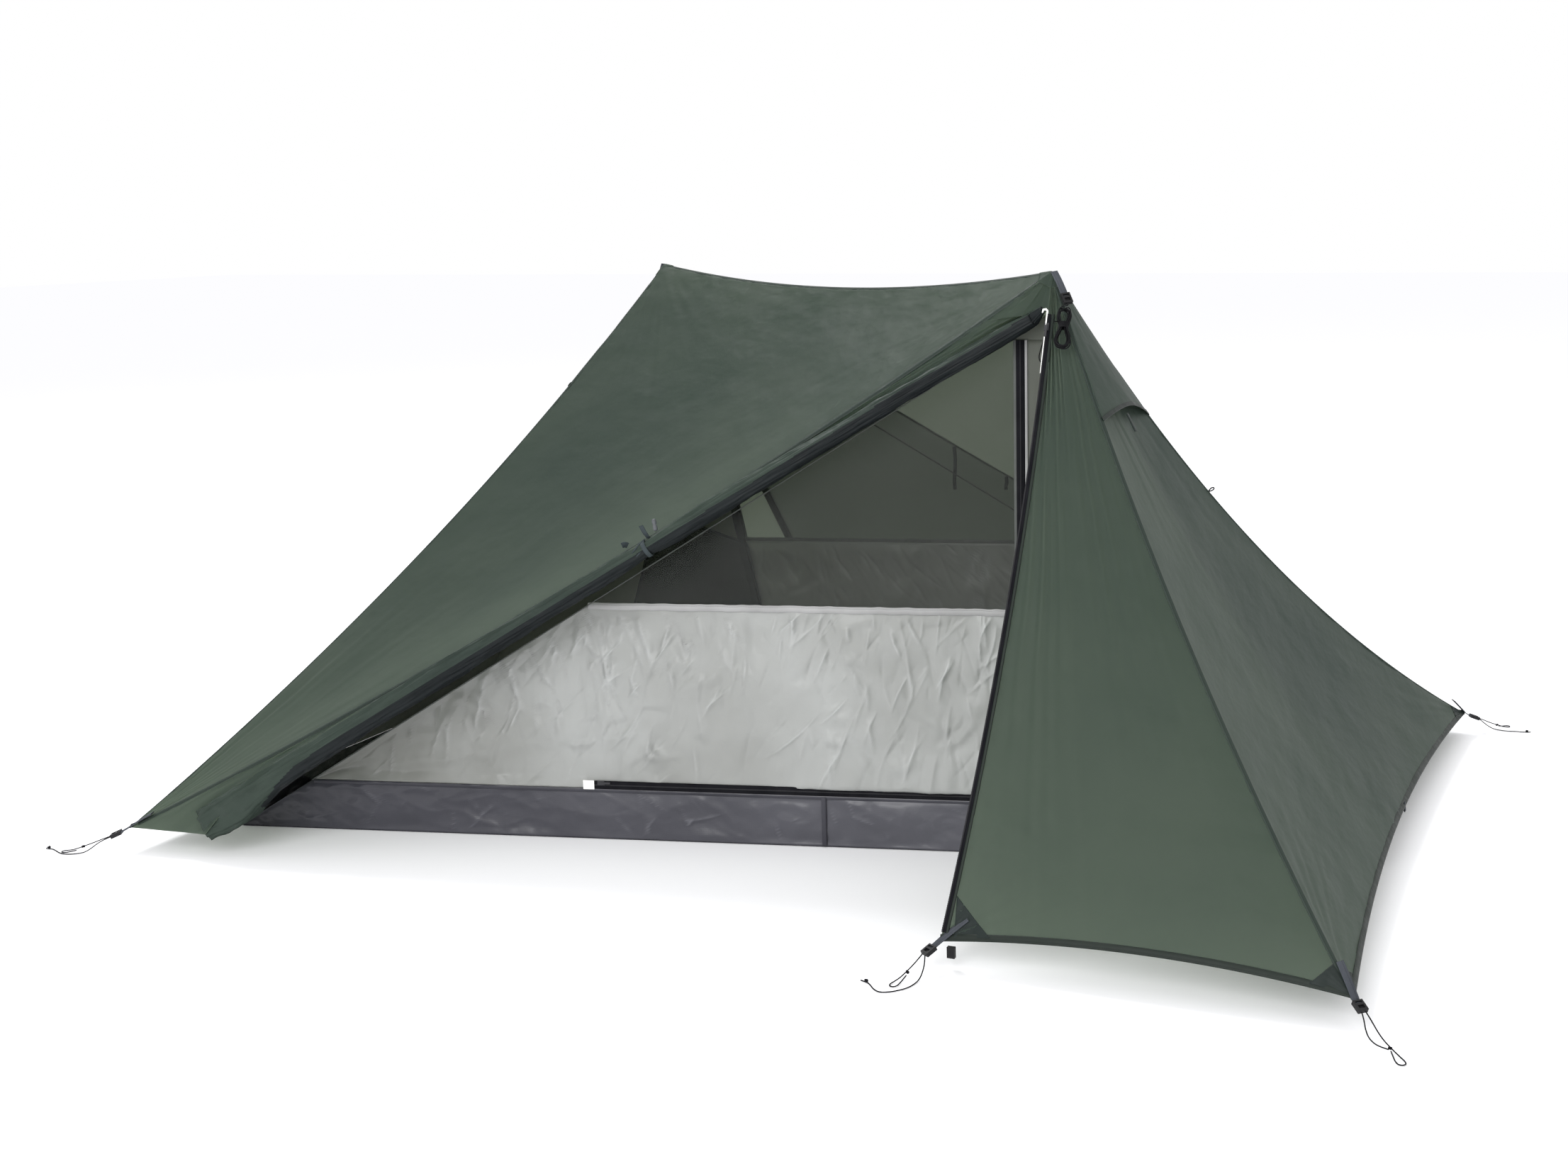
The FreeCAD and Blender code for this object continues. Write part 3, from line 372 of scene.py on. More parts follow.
# Control points of each cord, from where it leaves its webbing or slider to its far end.
CORD_ROUTES = {
    "line_front_left_loop": [
        (-1304, -867, 34.6), (-1321, -873, 28.5), (-1341, -879.5, 20), (-1364, -886.5, 11.5),
        (-1380, -890.5, 5.4), (-1392, -893, 2.2), (-1401.5, -895.5, 1.4), (-1407, -901.5, 1.4),
        (-1403.5, -908.5, 1.4), (-1394.5, -908.5, 1.4), (-1385, -903.5, 2.6), (-1374, -896.5, 5)],
    "line_front_left_tail": [
        (-1300.5, -873.2, 34.6), (-1316, -878, 28), (-1331, -882, 19), (-1343, -888, 9),
        (-1353, -896, 2.4), (-1366, -907, 1.3), (-1384, -915, 1.3), (-1404, -913, 1.3),
        (-1424, -904, 1.3), (-1440, -898.5, 1.3), (-1454, -901, 1.3)],
    "line_front_door_loop": [
        (536.6, -880, 35.2), (529, -890, 24), (518.5, -905.5, 12), (511, -921, 4.8),
        (505.5, -932, 2.4), (501.5, -941.5, 1.4), (503.5, -949.5, 1.4), (511, -951, 1.4),
        (516, -945, 1.4), (517, -934, 2), (518.5, -924, 4.6), (520, -914, 7.6)],
    "line_front_door_tail": [
        (542.8, -883.6, 35.0), (545, -890, 24), (544, -899, 10), (543, -912, 1.9),
        (541, -930, 1.3), (536, -947, 1.3), (525, -961, 1.3), (512, -972, 1.3),
        (498, -977.5, 1.3), (484, -970.5, 1.3), (470, -954.5, 1.3), (461, -947, 1.3),
        (448, -944, 1.3)],
    "line_front_right_loop": [
        (1290.5, -868, 39.1), (1300, -877, 31), (1313, -892.5, 20), (1325, -905, 12),
        (1339, -917.5, 6.4), (1352, -930.5, 2.8), (1361, -940, 1.4), (1365.6, -948.6, 1.4),
        (1363.2, -956.4, 1.4), (1355.2, -957.2, 1.4), (1349.8, -950.2, 1.4), (1345, -939, 1.9),
        (1338.6, -922, 4.4)],
    "line_front_right_tail": [
        (1285.2, -872.8, 39.0), (1290, -880, 30), (1294, -889.5, 19), (1300.5, -899, 10),
        (1311, -906.5, 5), (1322, -911, 3.4), (1333, -915.6, 3.8)],
    "line_rear_right_loop": [
        (1300.5, 873.2, 34.6), (1314, 883, 28), (1329, 894, 19), (1344, 906, 12),
        (1357, 917, 5.8), (1366, 924, 2.4), (1373.4, 930.6, 1.4), (1374, 938.4, 1.4),
        (1367, 942, 1.4), (1359.2, 936.4, 1.4), (1353, 928, 2.6), (1348, 918.5, 5)],
    "line_rear_right_tail": [
        (1304.0, 867.0, 34.6), (1314, 873, 25), (1325, 881, 14), (1338, 889, 5),
        (1354, 893.5, 1.4), (1372, 893, 1.3), (1391, 896.5, 1.3), (1408, 895, 1.3),
        (1426, 902, 1.3)],
    "zip_pull_cord_a": [
        (577, -311, 1056), (571, -307.5, 1040), (564.6, -305, 1024), (561.4, -305, 1011.5),
        (564.6, -305, 1001.4), (573.6, -305, 1000.8), (577.4, -305, 1011), (576, -305.4, 1024),
        (576, -308, 1038)],
    "zip_pull_cord_b": [
        (584.5, -311.5, 1054), (579.5, -310.6, 1038), (573, -311, 1020), (569, -311, 1008),
        (572.2, -311, 997.6), (581.2, -311, 997), (585.8, -311, 1007), (585, -311, 1020),
        (584.5, -310.6, 1036)],
}
CORD_NODES = {"line_front_left": "cord_front_left", "line_front_door": "cord_front_door",
              "line_front_right": "cord_front_right", "line_rear_right": "cord_rear_right",
              "zip_pull_cord": "zip_pull_cords"}


def run_length(points):
    """Length of the smooth curve through a route, from its own quadratic pieces."""
    points = np.array(points, float)
    knots = np.concatenate([[0, 0], np.arange(len(points) - 1), [len(points) - 2] * 2])
    total, last = 0.0, points[0]
    for value in np.linspace(0, len(points) - 2, 12 * len(points))[1:]:
        span = min(int(value), len(points) - 3)
        local = points[span:span + 3].copy()
        for degree in (2, 1):
            for i in range(degree):
                low, high = knots[span + i + 3 - degree], knots[span + i + 3]
                share = (value - low) / (high - low)
                local[i] = local[i] * (1 - share) + local[i + 1] * share
        total += np.linalg.norm(local[0] - last)
        last = local[0].copy()
    return total


def cord_piece(name, points, node_name, body="tent", resolution=10):
    """Limp round cord along one smooth NURBS curve."""
    curve = bpy.data.curves.new(name, "CURVE")
    curve.dimensions = "3D"
    line = curve.splines.new("NURBS")
    line.points.add(len(points) - 1)
    for control, place in zip(line.points, points):
        control.co = (*place, 1)
    line.order_u = 3
    line.use_endpoint_u = True
    line.resolution_u = resolution
    curve.bevel_depth = CORD_RADIUS
    curve.bevel_resolution = 3
    curve.use_fill_caps = True
    curve.materials.append(black_cord)
    piece = add_object(name, curve)
    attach(piece, body)
    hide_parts(node_name)
    tuple(points[0])
    run_length(points)


for name, route in CORD_ROUTES.items():
    pull = name.startswith("zip")
    cord_piece(name, [spot(*place) for place in route], CORD_NODES[name.rsplit("_", 1)[0]],
               "fly_slider_front" if pull else "tent")

# The hank of the peak's guy line hangs from the front peak. It lies in turns of pinched outline,
# is wrapped round its waist and ends in a short tail.
hank_top, hank_low = spot(618, -314, 1112), spot(623, -356, 1028)
hank_axis = unit(hank_top - hank_low)
hank_out = unit(np.cross(hank_axis, [1.0, 0.35, 0.0]))
hank_across = unit(np.cross(hank_out, hank_axis))
hank_centre = (hank_top + hank_low) / 2
# One side of a turn, from its head down to its foot, and the other side back up.
HANK_SIDE = [(-6, 39), (-11, 32.5), (-10.5, 20), (-6, 7.5), (-5.6, -3), (-9.5, -13), (-13, -23),
             (-12, -33.5), (-6, -40)]
HANK_TURN = HANK_SIDE + [(-across, along) for across, along in HANK_SIDE[::-1]]
TURNS, TURN_PITCH = 9, 1.85
WRAPS, WRAP_POINTS, WRAP_PITCH = 5, 10, 2.3


def hank_place(across, along, out):
    return hank_centre + (hank_across * across + hank_axis * along + hank_out * out) * MM


hank_route = [spot(616.5, -297.5, 1111), hank_place(4.5, 51, 7), hank_place(6, 46, -2),
              hank_place(3, 41, -6.6)]
draw = np.random.default_rng(7)
for turn in range(TURNS):
    wide, tall, lean = draw.uniform(0.92, 1.05), draw.uniform(0.88, 0.99), draw.uniform(-1, 1)
    for step, (across, along) in enumerate(HANK_TURN):
        shift = lean * along * 0.025 + 2.6 * math.sin(2.4 * turn)
        rise = 1.6 * math.cos(2.4 * turn)
        depth = TURN_PITCH * (turn + step / len(HANK_TURN)) - 6.6
        hank_route.append(hank_place(across * wide + shift, along * tall + rise, depth))
hank_route += [hank_place(-6, 39, 10.5), hank_place(-11, 31, 12), hank_place(-10, 20, 13),
               hank_place(-8.4, 9, 13), hank_place(-9.2, 0, 10)]
for step in range(WRAPS * WRAP_POINTS):
    angle = 2 * math.pi * step / WRAP_POINTS + 2.95
    hank_route.append(hank_place(8.6 * math.cos(angle), WRAP_PITCH * step / WRAP_POINTS - 1,
                                 1.5 + 11.0 * math.sin(angle)))
hank_route += [hank_place(-9.5, 10.5, 3), hank_place(-12.5, 10.5, -4), hank_place(-17, 7, -8)]
cord_piece("guy_line_hank", hank_route, "guyline_hank", resolution=6)


# ---------------------------------------------------------------- surface helpers

def noise(x, y, seed):
    """Smooth random height from -1 to 1 over the plane, the same each run."""
    x, y = np.broadcast_arrays(np.asarray(x, float), np.asarray(y, float))
    column, row = np.floor(x), np.floor(y)
    fx, fy = x - column, y - row
    fx, fy = fx * fx * (3 - 2 * fx), fy * fy * (3 - 2 * fy)
    column, row = column.astype(np.int64), row.astype(np.int64)

    def lattice(i, j):
        code = (column + i) * 73856093 ^ (row + j) * 19349663 ^ (seed * 83492791)
        code = (code ^ (code >> 13)) & 0x7FFFFFFF
        code = (code * 1274126177) & 0x7FFFFFFF
        code = (code ^ (code >> 16)) & 0xFFFF
        return code / 32767.5 - 1

    low = lattice(0, 0) * (1 - fx) + lattice(1, 0) * fx
    high = lattice(0, 1) * (1 - fx) + lattice(1, 1) * fx
    return low * (1 - fy) + high * fy


def cloud(x, y, seed):
    """Three layers of noise, each half as large and half as high as the one before."""
    return sum(noise(x * 2 ** octave, y * 2 ** octave, seed + 17 * octave) / 2 ** octave
               for octave in range(3))


def ridged(x, y, seed):
    """Sharp creases with soft valleys between them, from 0 to about 1, in two layers."""
    total, weight = 0.0, 0.0
    for octave in range(2):
        layer = 1 - np.abs(noise(x * 2 ** octave, y * 2 ** octave, seed + 31 * octave)) * 2
        total = total + np.clip(layer, 0, 1) ** 2 / 1.8 ** octave
        weight += 1 / 1.8 ** octave
    return total / weight


def ease(value, start, width):
    """Climb from 0 at start to 1 at start + width, level on both sides."""
    return np.clip((value - start) / width, 0, 1)


def hump(u):
    """Zero at both ends of 0 to 1, and 1 in the middle."""
    return 4 * u * (1 - u)


def grid_places(columns, rows, low=0.0, high=1.0):
    return np.meshgrid(np.linspace(0, 1, columns), np.linspace(low, high, rows))


def mesh_piece(name, points, faces, material, slot, uv, node_name=None, body="tent", thick=0.0):
    """Mesh object riding on a body, and standing for a node if given. uv has a pair per vertex."""
    mesh = bpy.data.meshes.new(name)
    mesh.from_pydata([tuple(p) for p in points], [], [tuple(f) for f in faces])
    mesh.materials.append(material)
    corner = np.zeros(len(mesh.loops), np.int32)
    mesh.loops.foreach_get("vertex_index", corner)
    layer = mesh.uv_layers.new(name="cloth")
    layer.data.foreach_set("uv", np.asarray(uv, np.float32)[corner].ravel())
    mesh.shade_smooth()
    piece = add_object(name, mesh)
    if thick:
        solid = piece.modifiers.new("thickness", "SOLIDIFY")
        solid.thickness = thick * MM
        solid.offset = -1
    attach(piece, body)
    if node_name:
        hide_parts(node_name)
    return piece


def grid_faces(rows, columns, closed=False):
    return [(row * columns + column, row * columns + (column + 1) % columns,
             (row + 1) * columns + (column + 1) % columns, (row + 1) * columns + column)
            for row in range(rows - 1) for column in range(columns if closed else columns - 1)]


def grid_piece(name, points, material, slot, uv, node_name=None, body="tent", thick=0.0):
    """Piece from an array of rows of points."""
    return mesh_piece(name, points.reshape(-1, 3), grid_faces(*points.shape[:2]), material, slot,
                      uv.reshape(-1, 2), node_name, body, thick)


def strip_piece(name, points, offsets, material, slot, node_name=None, body="tent"):
    """Ribbon along a line. offsets holds, for each column, its shift at every point."""
    columns = np.stack([points + shift for shift in offsets], axis=1)
    across = np.zeros(columns.shape[:2])
    across[:, 1:] = np.cumsum(np.linalg.norm(np.diff(columns, axis=1), axis=2), axis=1)
    across -= across[:, -1:] / 2
    along = np.broadcast_to(lengths_along(points)[:, None], across.shape)
    return grid_piece(name, columns, material, slot, np.stack([along, across], axis=-1),
                      node_name, body)


def ribbon(name, points, across, normal, profile, material, slot, node_name=None, body="tent"):
    """Band along points. profile holds pairs of steps across the band and off the cloth."""
    offsets = [(across * a + normal * b) * MM for a, b in profile]
    return strip_piece(name, points, offsets, material, slot, node_name, body)


def flat_band(half, thick=0.8):
    """Profile of a flat band with bevelled edges, half as wide as its whole width."""
    inner = half - 0.6
    return [(-half, 0), (-inner, thick), (inner, thick), (half, 0), (inner, -0.2), (-inner, -0.2),
            (-half, 0)]


# ---------------------------------------------------------------- main points of the tent

# Hem corners, clockwise from the front left, then the door feet and the peaks.
A, B = spot(-1270, -850, 50), spot(1270, -850, 50)
C, D = turned(A), turned(B)
E, E_REAR = spot(558, -850, 50), spot(-380, 850, 50)
P1 = spot(575, -257, 1170)
P2 = turned(P1)


def seam(start, end, sag, toward=None):
    """Edge from start to end, as a function of 0 to 1, that bows by sag at its middle."""
    along = unit(end - start)
    bow = toward if toward is not None else unit(along * along[2] - UP)

    def place(t):
        t = np.asarray(t, float)[..., None]
        return start + (end - start) * t + bow * sag * MM * hump(t)

    return place


def backwards(edge):
    return lambda t: edge(1 - np.asarray(t, float))


EAST, WEST = np.array([1.0, 0, 0]), np.array([-1.0, 0, 0])
hip_left, hip_right = seam(A, P2, 50), seam(C, P1, 90)
door_head, rear_head = seam(A, P1, 40), seam(C, P2, 40)
edge_right, edge_left = seam(B, P1, 50), seam(D, P2, 50)
zip_line, rear_zip_line = seam(E, P1, 20, EAST), seam(E_REAR, P2, 20, WEST)
ridge_from_rear, ridge_from_front = seam(P2, P1, 42, -UP), seam(P1, P2, 42, -UP)


class Panel:
    """Cloth panel between two edges that meet at its head, with its own folds.

    Places on it are u from the left edge to the right, and t from the base to the head. Each
    fold fan holds its anchor, reach in metres, height, count and seed.
    """

    def __init__(self, left, right, bow, fans, seed, broad=4.0, lean=None):
        self.left, self.right, self.bow = left, right, np.asarray(bow, float) * MM
        self.fans, self.seed, self.broad, self.lean = fans, seed, broad, lean
        base, climb = right(0.0) - left(0.0), left(0.97) - left(0.0)
        normal = unit(np.cross(base, climb))
        middle = (left(0.0) + right(0.0) + left(0.97)) / 3
        self.normal = normal if normal @ (middle - UP * 0.29) > 0 else -normal
        self.along = unit(base)
        self.rise = np.cross(self.normal, self.along)

    def plain(self, u, t):
        start, end = self.left(t), self.right(t)
        bulge = ((1 - t) * 4 * u * (1 - u))[..., None]
        return start + (end - start) * u[..., None] + self.bow * bulge

    def flat(self, points):
        offset = points - self.left(0.0)
        return np.stack([offset @ self.along, offset @ self.rise], axis=-1)

    def fan_folds(self, u, points):
        """Pleats that spread from the anchors, in metres off the cloth."""
        total = 0.0
        for anchor, reach, high, count, seed in self.fans:
            offset = points - anchor
            toward = unit(points.reshape(-1, 3).mean(axis=0) - anchor)
            cross = np.cross(self.normal, toward)
            radius = np.linalg.norm(offset, axis=-1)
            angle = np.arctan2(offset @ cross, offset @ toward)
            wave = noise(angle * count + 0.6 * noise(radius * 5, angle * 3, seed + 5),
                         radius * 1.4, seed)
            sharp = np.sign(wave) * np.abs(wave) ** 0.8
            sharp = sharp * np.exp(-radius / reach) * radius / (radius + 0.05)
            if self.lean:
                sharp = sharp * np.exp(-u / self.lean)
            total = total + high * MM * sharp
        return total

    def pucker(self, run, near, seed, peak):
        """Small gathers beside a sewn border, stronger near a peak."""
        gathers = noise(run * 55, near * 9, seed) + 0.6 * noise(run * 120, near * 14, seed + 1)
        fade = np.exp(-near / 0.03) * np.clip(near / 0.006, 0, 1)
        return 0.9 * MM * gathers * fade * (1 + 2.2 * np.exp(-peak / 0.16))

    def height(self, u, t, points):
        """How far the cloth stands off its plain surface."""
        width = np.linalg.norm(self.right(t) - self.left(t), axis=-1)
        x, y = np.moveaxis(self.flat(points), -1, 0)
        near_left, near_right, near_base = u * width, (1 - u) * width, t * 1.2
        edge = np.minimum(np.minimum(near_left, near_right), near_base)
        total = self.broad * MM * cloud(x * 2.6, y * 2.6, self.seed)
        total = total + 0.5 * MM * cloud(x * 22, y * 22, self.seed + 3)
        total = (total * np.clip(edge / 0.07, 0, 1) ** 0.8
                 + self.fan_folds(u, points) * np.clip(edge / 0.016, 0, 1))
        peak = np.minimum(np.linalg.norm(points - P1, axis=-1), np.linalg.norm(points - P2, axis=-1))
        for near, run, seed in ((near_left, t * 1.3, 41), (near_right, t * 1.3, 43),
                                (near_base, u * width, 47)):
            total = total + self.pucker(run, near, self.seed + seed, peak)
        return total

    def at(self, u, t, lift=0.0):
        points = self.plain(u, t)
        return points + self.normal * (self.height(u, t, points) + lift * MM)[..., None]

    def piece(self, name, material, columns, rows, high):
        points = self.at(*grid_places(columns, rows, 0.0, high))
        return grid_piece("cloth_" + name, points, material, "fly_cloth", self.flat(points),
                          "fly_" + name, thick=0.7)


INWARD_RIGHT, INWARD_LEFT = np.array([-0.9, 0, 0.43]), np.array([0.9, 0, 0.43])
roof_front = Panel(backwards(hip_left), backwards(door_head), -UP * 42, [
    (P1, 0.35, 3.2, 30, 5), (P2, 0.22, 2, 26, 6), (A, 0.4, 3.0, 30, 7)], 11)
roof_rear = Panel(backwards(hip_right), backwards(rear_head), -UP * 42, [
    (P2, 0.35, 3.2, 30, 5), (P1, 0.22, 2, 26, 6), (C, 0.4, 3.0, 30, 7)], 12)
end_right = Panel(edge_right, hip_right, INWARD_RIGHT * 45, [
    (P1, 0.35, 3.5, 20, 8), (B, 0.25, 3, 22, 9), (C, 0.25, 3, 22, 10)], 13)
end_left = Panel(edge_left, hip_left, INWARD_LEFT * 45, [
    (P2, 0.35, 3, 22, 8), (D, 0.25, 3, 22, 9), (A, 0.25, 3, 22, 10)], 14)
vestibule_front = Panel(zip_line, edge_right, UP * 25, [
    (P1, 0.4, 14, 70, 3), (E, 0.12, 2.5, 24, 9), (B, 0.15, 2.5, 24, 12)], 15, lean=0.55)
vestibule_rear = Panel(rear_zip_line, edge_left, UP * 25, [
    (P2, 0.35, 5, 60, 21), (E_REAR, 0.2, 3, 24, 9), (D, 0.25, 3, 24, 12)], 16)
door_rear = Panel(rear_zip_line, rear_head, UP * 25, [
    (P2, 0.35, 4, 44, 23), (E_REAR, 0.2, 3, 24, 19), (C, 0.35, 3, 28, 14)], 17)

HEAD, VENT_FOOT = 0.999, 0.82
for name, panel, cloth, columns, rows, high, flat in (
        ("roof_front", roof_front, fly_cloth, 190, 190, HEAD, (1.247, 1.97)),
        ("roof_rear", roof_rear, fly_cloth, 170, 170, HEAD, (1.247, 1.97)),
        ("end_right", end_right, fly_end_cloth, 170, 130, VENT_FOOT, (1.7, 1.37)),
        ("end_left", end_left, fly_end_cloth, 150, 110, VENT_FOOT, (1.7, 1.37)),
        ("vestibule_front", vestibule_front, fly_cloth, 120, 220, HEAD, (0.712, 1.27)),
        ("vestibule_rear", vestibule_rear, fly_cloth, 100, 150, HEAD, (0.89, 1.29)),
        ("door_rear", door_rear, fly_end_cloth, 150, 150, HEAD, (1.65, 1.29))):
    panel.piece(name, cloth, columns, rows, high)


# ---------------------------------------------------------------- seams, hems and patches

def border(panel, side, count, low=0.0, high=1.0):
    """Places along one border of a panel, the way into the panel there, and its normal."""
    run = np.linspace(low, high, count)
    if side == "base":
        points, inside = panel.plain(run, run * 0), panel.plain(run, run * 0 + 0.01)
    else:
        u = 0.0 if side == "left" else 1.0
        points, inside = panel.plain(run * 0 + u, run), panel.plain(run * 0 + abs(u - 0.02), run)
    ahead = unit(np.gradient(points, axis=0))
    way = inside - points
    way = unit(way - ahead * (way * ahead).sum(axis=1)[:, None])
    return points, way, np.broadcast_to(panel.normal, points.shape)


SEAM_COUNT = 220
# Steps from the outer edge of a seam to its fold: into the panel, then off the cloth.
SEAM_SIDE = [(6.0, 0.2), (4.8, 1.1), (1.8, 1.5)]


def seam_piece(name, first, side_first, second, side_second, low=0.002, high=0.985):
    """Felled seam that rides over the fold between two panels."""
    points, way_a, normal_a = border(first, side_first, SEAM_COUNT, low, high)
    other, way_b, normal_b = border(second, side_second, SEAM_COUNT, low, high)
    if np.linalg.norm(other[0] - points[0]) > np.linalg.norm(other[-1] - points[0]):
        _, way_b, normal_b = (rows[::-1] for rows in border(second, side_second, SEAM_COUNT,
                                                            1 - high, 1 - low))
    offsets = [(way_a * step + normal_a * rise) * MM for step, rise in SEAM_SIDE]
    offsets += [(way_b * step + normal_b * rise) * MM for step, rise in SEAM_SIDE[::-1]]
    strip_piece("seam_" + name, points, offsets, fly_seam, "fly_cloth")


seam_piece("front_right", vestibule_front, "right", end_right, "left", low=0.0)
seam_piece("rear_left", vestibule_rear, "right", end_left, "left", low=0.0)
seam_piece("hip_right", end_right, "right", roof_rear, "left")
seam_piece("hip_left", end_left, "right", roof_front, "left")
seam_piece("rear_head", door_rear, "right", roof_rear, "right")
seam_piece("ridge", roof_front, "base", roof_rear, "base", low=0.01, high=0.99)

# Folded hems along the lower borders, each with a rounded lower edge.
HEM = [(11, -0.9), (1.0, -1.4), (-1.2, -0.4), (-1.2, 0.8), (1.0, 1.2), (6.6, 1.1), (11, 0.9),
       (11.6, 0.0)]
for name, panel in (("vestibule_front", vestibule_front), ("end_right", end_right),
                    ("end_left", end_left), ("vestibule_rear", vestibule_rear),
                    ("door_rear", door_rear)):
    ribbon("hem_" + name, *border(panel, "base", 160), HEM, fly_hem, "fly_cloth")

# Doubled cloth over the panels' corners, each a triangle given by three places (u, t).
PATCH_STEPS, PATCH_FOOT = 24, 0.004
for name, panel, corners in (
        ("door_foot", vestibule_front, [(0.035, PATCH_FOOT), (0.02, 0.062), (0.13, PATCH_FOOT)]),
        ("front_right", vestibule_front, [(1.0, PATCH_FOOT), (0.9, PATCH_FOOT), (1.0, 0.045)]),
        ("end_front", end_right, [(0.0, PATCH_FOOT), (0.0, 0.045), (0.042, PATCH_FOOT)]),
        ("end_rear", end_right, [(1.0, PATCH_FOOT), (0.955, PATCH_FOOT), (1.0, 0.04)]),
        ("rear_left", end_left, [(0.0, PATCH_FOOT), (0.0, 0.045), (0.042, PATCH_FOOT)]),
        ("rear_door_foot", vestibule_rear, [(0.0, PATCH_FOOT), (0.0, 0.06), (0.09, PATCH_FOOT)]),
        ("vestibule_rear", vestibule_rear, [(1.0, PATCH_FOOT), (0.92, PATCH_FOOT), (1.0, 0.045)])):
    first, second, third = np.array(corners, float)
    share, across = grid_places(PATCH_STEPS + 1, PATCH_STEPS + 1)[::-1]
    start = first + (second - first) * share[..., None]
    end = first + (third - first) * share[..., None]
    places = start + (end - start) * across[..., None]
    points = panel.at(places[..., 0], places[..., 1], lift=0.9)
    grid_piece("patch_" + name, points, fly_dark, "fly_cloth", panel.flat(points), thick=0.5)


# ---------------------------------------------------------------- vents

BRIM, VENT_HEAD = 0.78, 0.965
NO_BOW = (0, 0, 0)
for name, left, right, lift in (("right", edge_right, hip_right, 18),
                                ("left", edge_left, hip_left, 16)):
    # The hood stands off the panel most at the middle of its brim.
    panel = Panel(left, right, NO_BOW, [], 31)
    u, share = grid_places(60, 40)
    brim = BRIM + 0.012 * np.sin(math.pi * u)
    arch = np.sin(math.pi * u) ** 0.85 * (1 - share) ** 1.3
    rise = (1.0 + lift * arch + 0.8 * noise(u * 9, share * 6, 51)) * MM
    points = panel.plain(u, brim + (VENT_HEAD - brim) * share) + panel.normal * rise[..., None]
    hood = grid_piece("vent_hood_" + name, points, fly_end_cloth, "fly_cloth", panel.flat(points),
                      "vent_hoods", thick=0.7)
    down = unit(points[0].mean(axis=0) - points[8].mean(axis=0))
    ribbon("vent_brim_" + name, points[0], down, panel.normal,
           [(-7, 0.9), (0, 1.3), (1.4, 0.2), (0, -1.4), (-7, -1.2)], fly_hem, "fly_cloth")
    window = Panel(left, right, NO_BOW, [], 33, broad=2.0)
    u, t = grid_places(40, 30, 0.815, 0.96)
    net = grid_piece("vent_net_" + name, window.at(u, t, -1.0), vent_mesh, "vent_mesh",
                     window.flat(window.plain(u, t)), "vent_meshes", thick=0.4)


# ---------------------------------------------------------------- front door, tied back

ROLL_RADIUS = 24.0
# Shares of the roll's length at which its tie sits and its bent end starts.
TIE, BENT = 0.53, 0.95
RINGS, AROUND = 420, 72
roll_low = spot(-1096, -824, 72)
roll_high = zip_line(0.928) + spot(-38, 20, -8)
roll_straight = seam(roll_low, roll_high, -8)
roll_tip = zip_line(0.94) + spot(-14, 4, -2)


def roll_centre(s):
    """Middle line of the roll, which bends up to the head of the zip at its end."""
    share = ease(s, BENT, 1 - BENT)[..., None]
    return roll_straight(np.minimum(s / BENT, 1.0)) + (roll_tip - roll_high) * share


def roll_size(s):
    """Radius along the roll: fuller low down, drawn in by the tie and at its ends."""
    swell = 1.0 + 0.10 * cloud(s * 7, 0, 61) - 0.22 * np.exp(-((s - TIE) / 0.018) ** 2)
    swell = swell * (1 - 0.6 * ease(s, 0.9, 0.1) ** 1.5)
    return ROLL_RADIUS * (1 - 0.42 * s) * swell


s = np.linspace(0, 1, RINGS)
centre = roll_centre(s)
roll_ahead = unit(np.gradient(centre, axis=0))
roll_out = unit(np.cross(roll_ahead, np.array([0.3, -0.2, -1.0])))
roll_out *= np.sign(-roll_out[:, 1])[:, None]
roll_up = np.cross(roll_out, roll_ahead)
roll_up *= np.sign(roll_up[:, 2])[:, None]

angle = np.linspace(0, 2 * math.pi, AROUND, endpoint=False)
ring_s, ring_angle = np.meshgrid(s, angle, indexing="ij")
turn_x, turn_y = np.cos(ring_angle), np.sin(ring_angle)
# The wrap is the radius over its plain value: lumps, creases, the cloth's own edge and gathers.
wrap = 1 + 0.06 * cloud(turn_x * 1.6 + 5, ring_s * 9 + turn_y * 1.6, 62)
wrap = wrap + 0.34 * (ridged(3.6 * turn_x + 1.5 * ring_s, 3.6 * turn_y + ring_s * 6, 63) - 0.35)
wrap = wrap + 0.05 * cloud(ring_s * 70, turn_x * 3 + turn_y * 2, 65)
layer = ((ring_angle + 1.2 * ring_s + 1.1) % (2 * math.pi)) / (2 * math.pi)
wrap = wrap - 0.13 * ease(layer, 0.93, 0.07) + 0.02 * layer
wrap = wrap + 0.02 * noise(ring_s * 160, turn_x * 2, 64) * np.exp(-np.abs(ring_s - TIE) / 0.04)
radius = roll_size(ring_s) * wrap * MM
# The foot is flattened and crumpled, with a skirt of loose cloth below it.
flat_end = np.clip(1 - ring_s / 0.07, 0, 1) ** 1.3
crumple = flat_end * 5 * MM * noise(ring_s * 90, turn_y * 3, 66)
skirt = 0.95 * np.exp(-((ring_s - 0.035) / 0.04) ** 2) * (turn_y < 0)
outward = radius * turn_x * (1 - 0.6 * flat_end) + crumple
upright = radius * turn_y * (1 + 0.12 * flat_end + skirt)
roll_points = (centre[:, None] + roll_out[:, None] * outward[..., None]
               + roll_up[:, None] * upright[..., None])
faces = grid_faces(RINGS, AROUND, closed=True)
faces.append(tuple(range(AROUND))[::-1])
faces.append(tuple((RINGS - 1) * AROUND + i for i in range(AROUND)))
roll = mesh_piece("door_roll", roll_points.reshape(-1, 3), faces, fly_roll_painted_shade, "fly_cloth",
                  np.stack([ring_s * 2.0, ring_angle * 0.024], axis=-1).reshape(-1, 2),
                  "fly_door_roll")
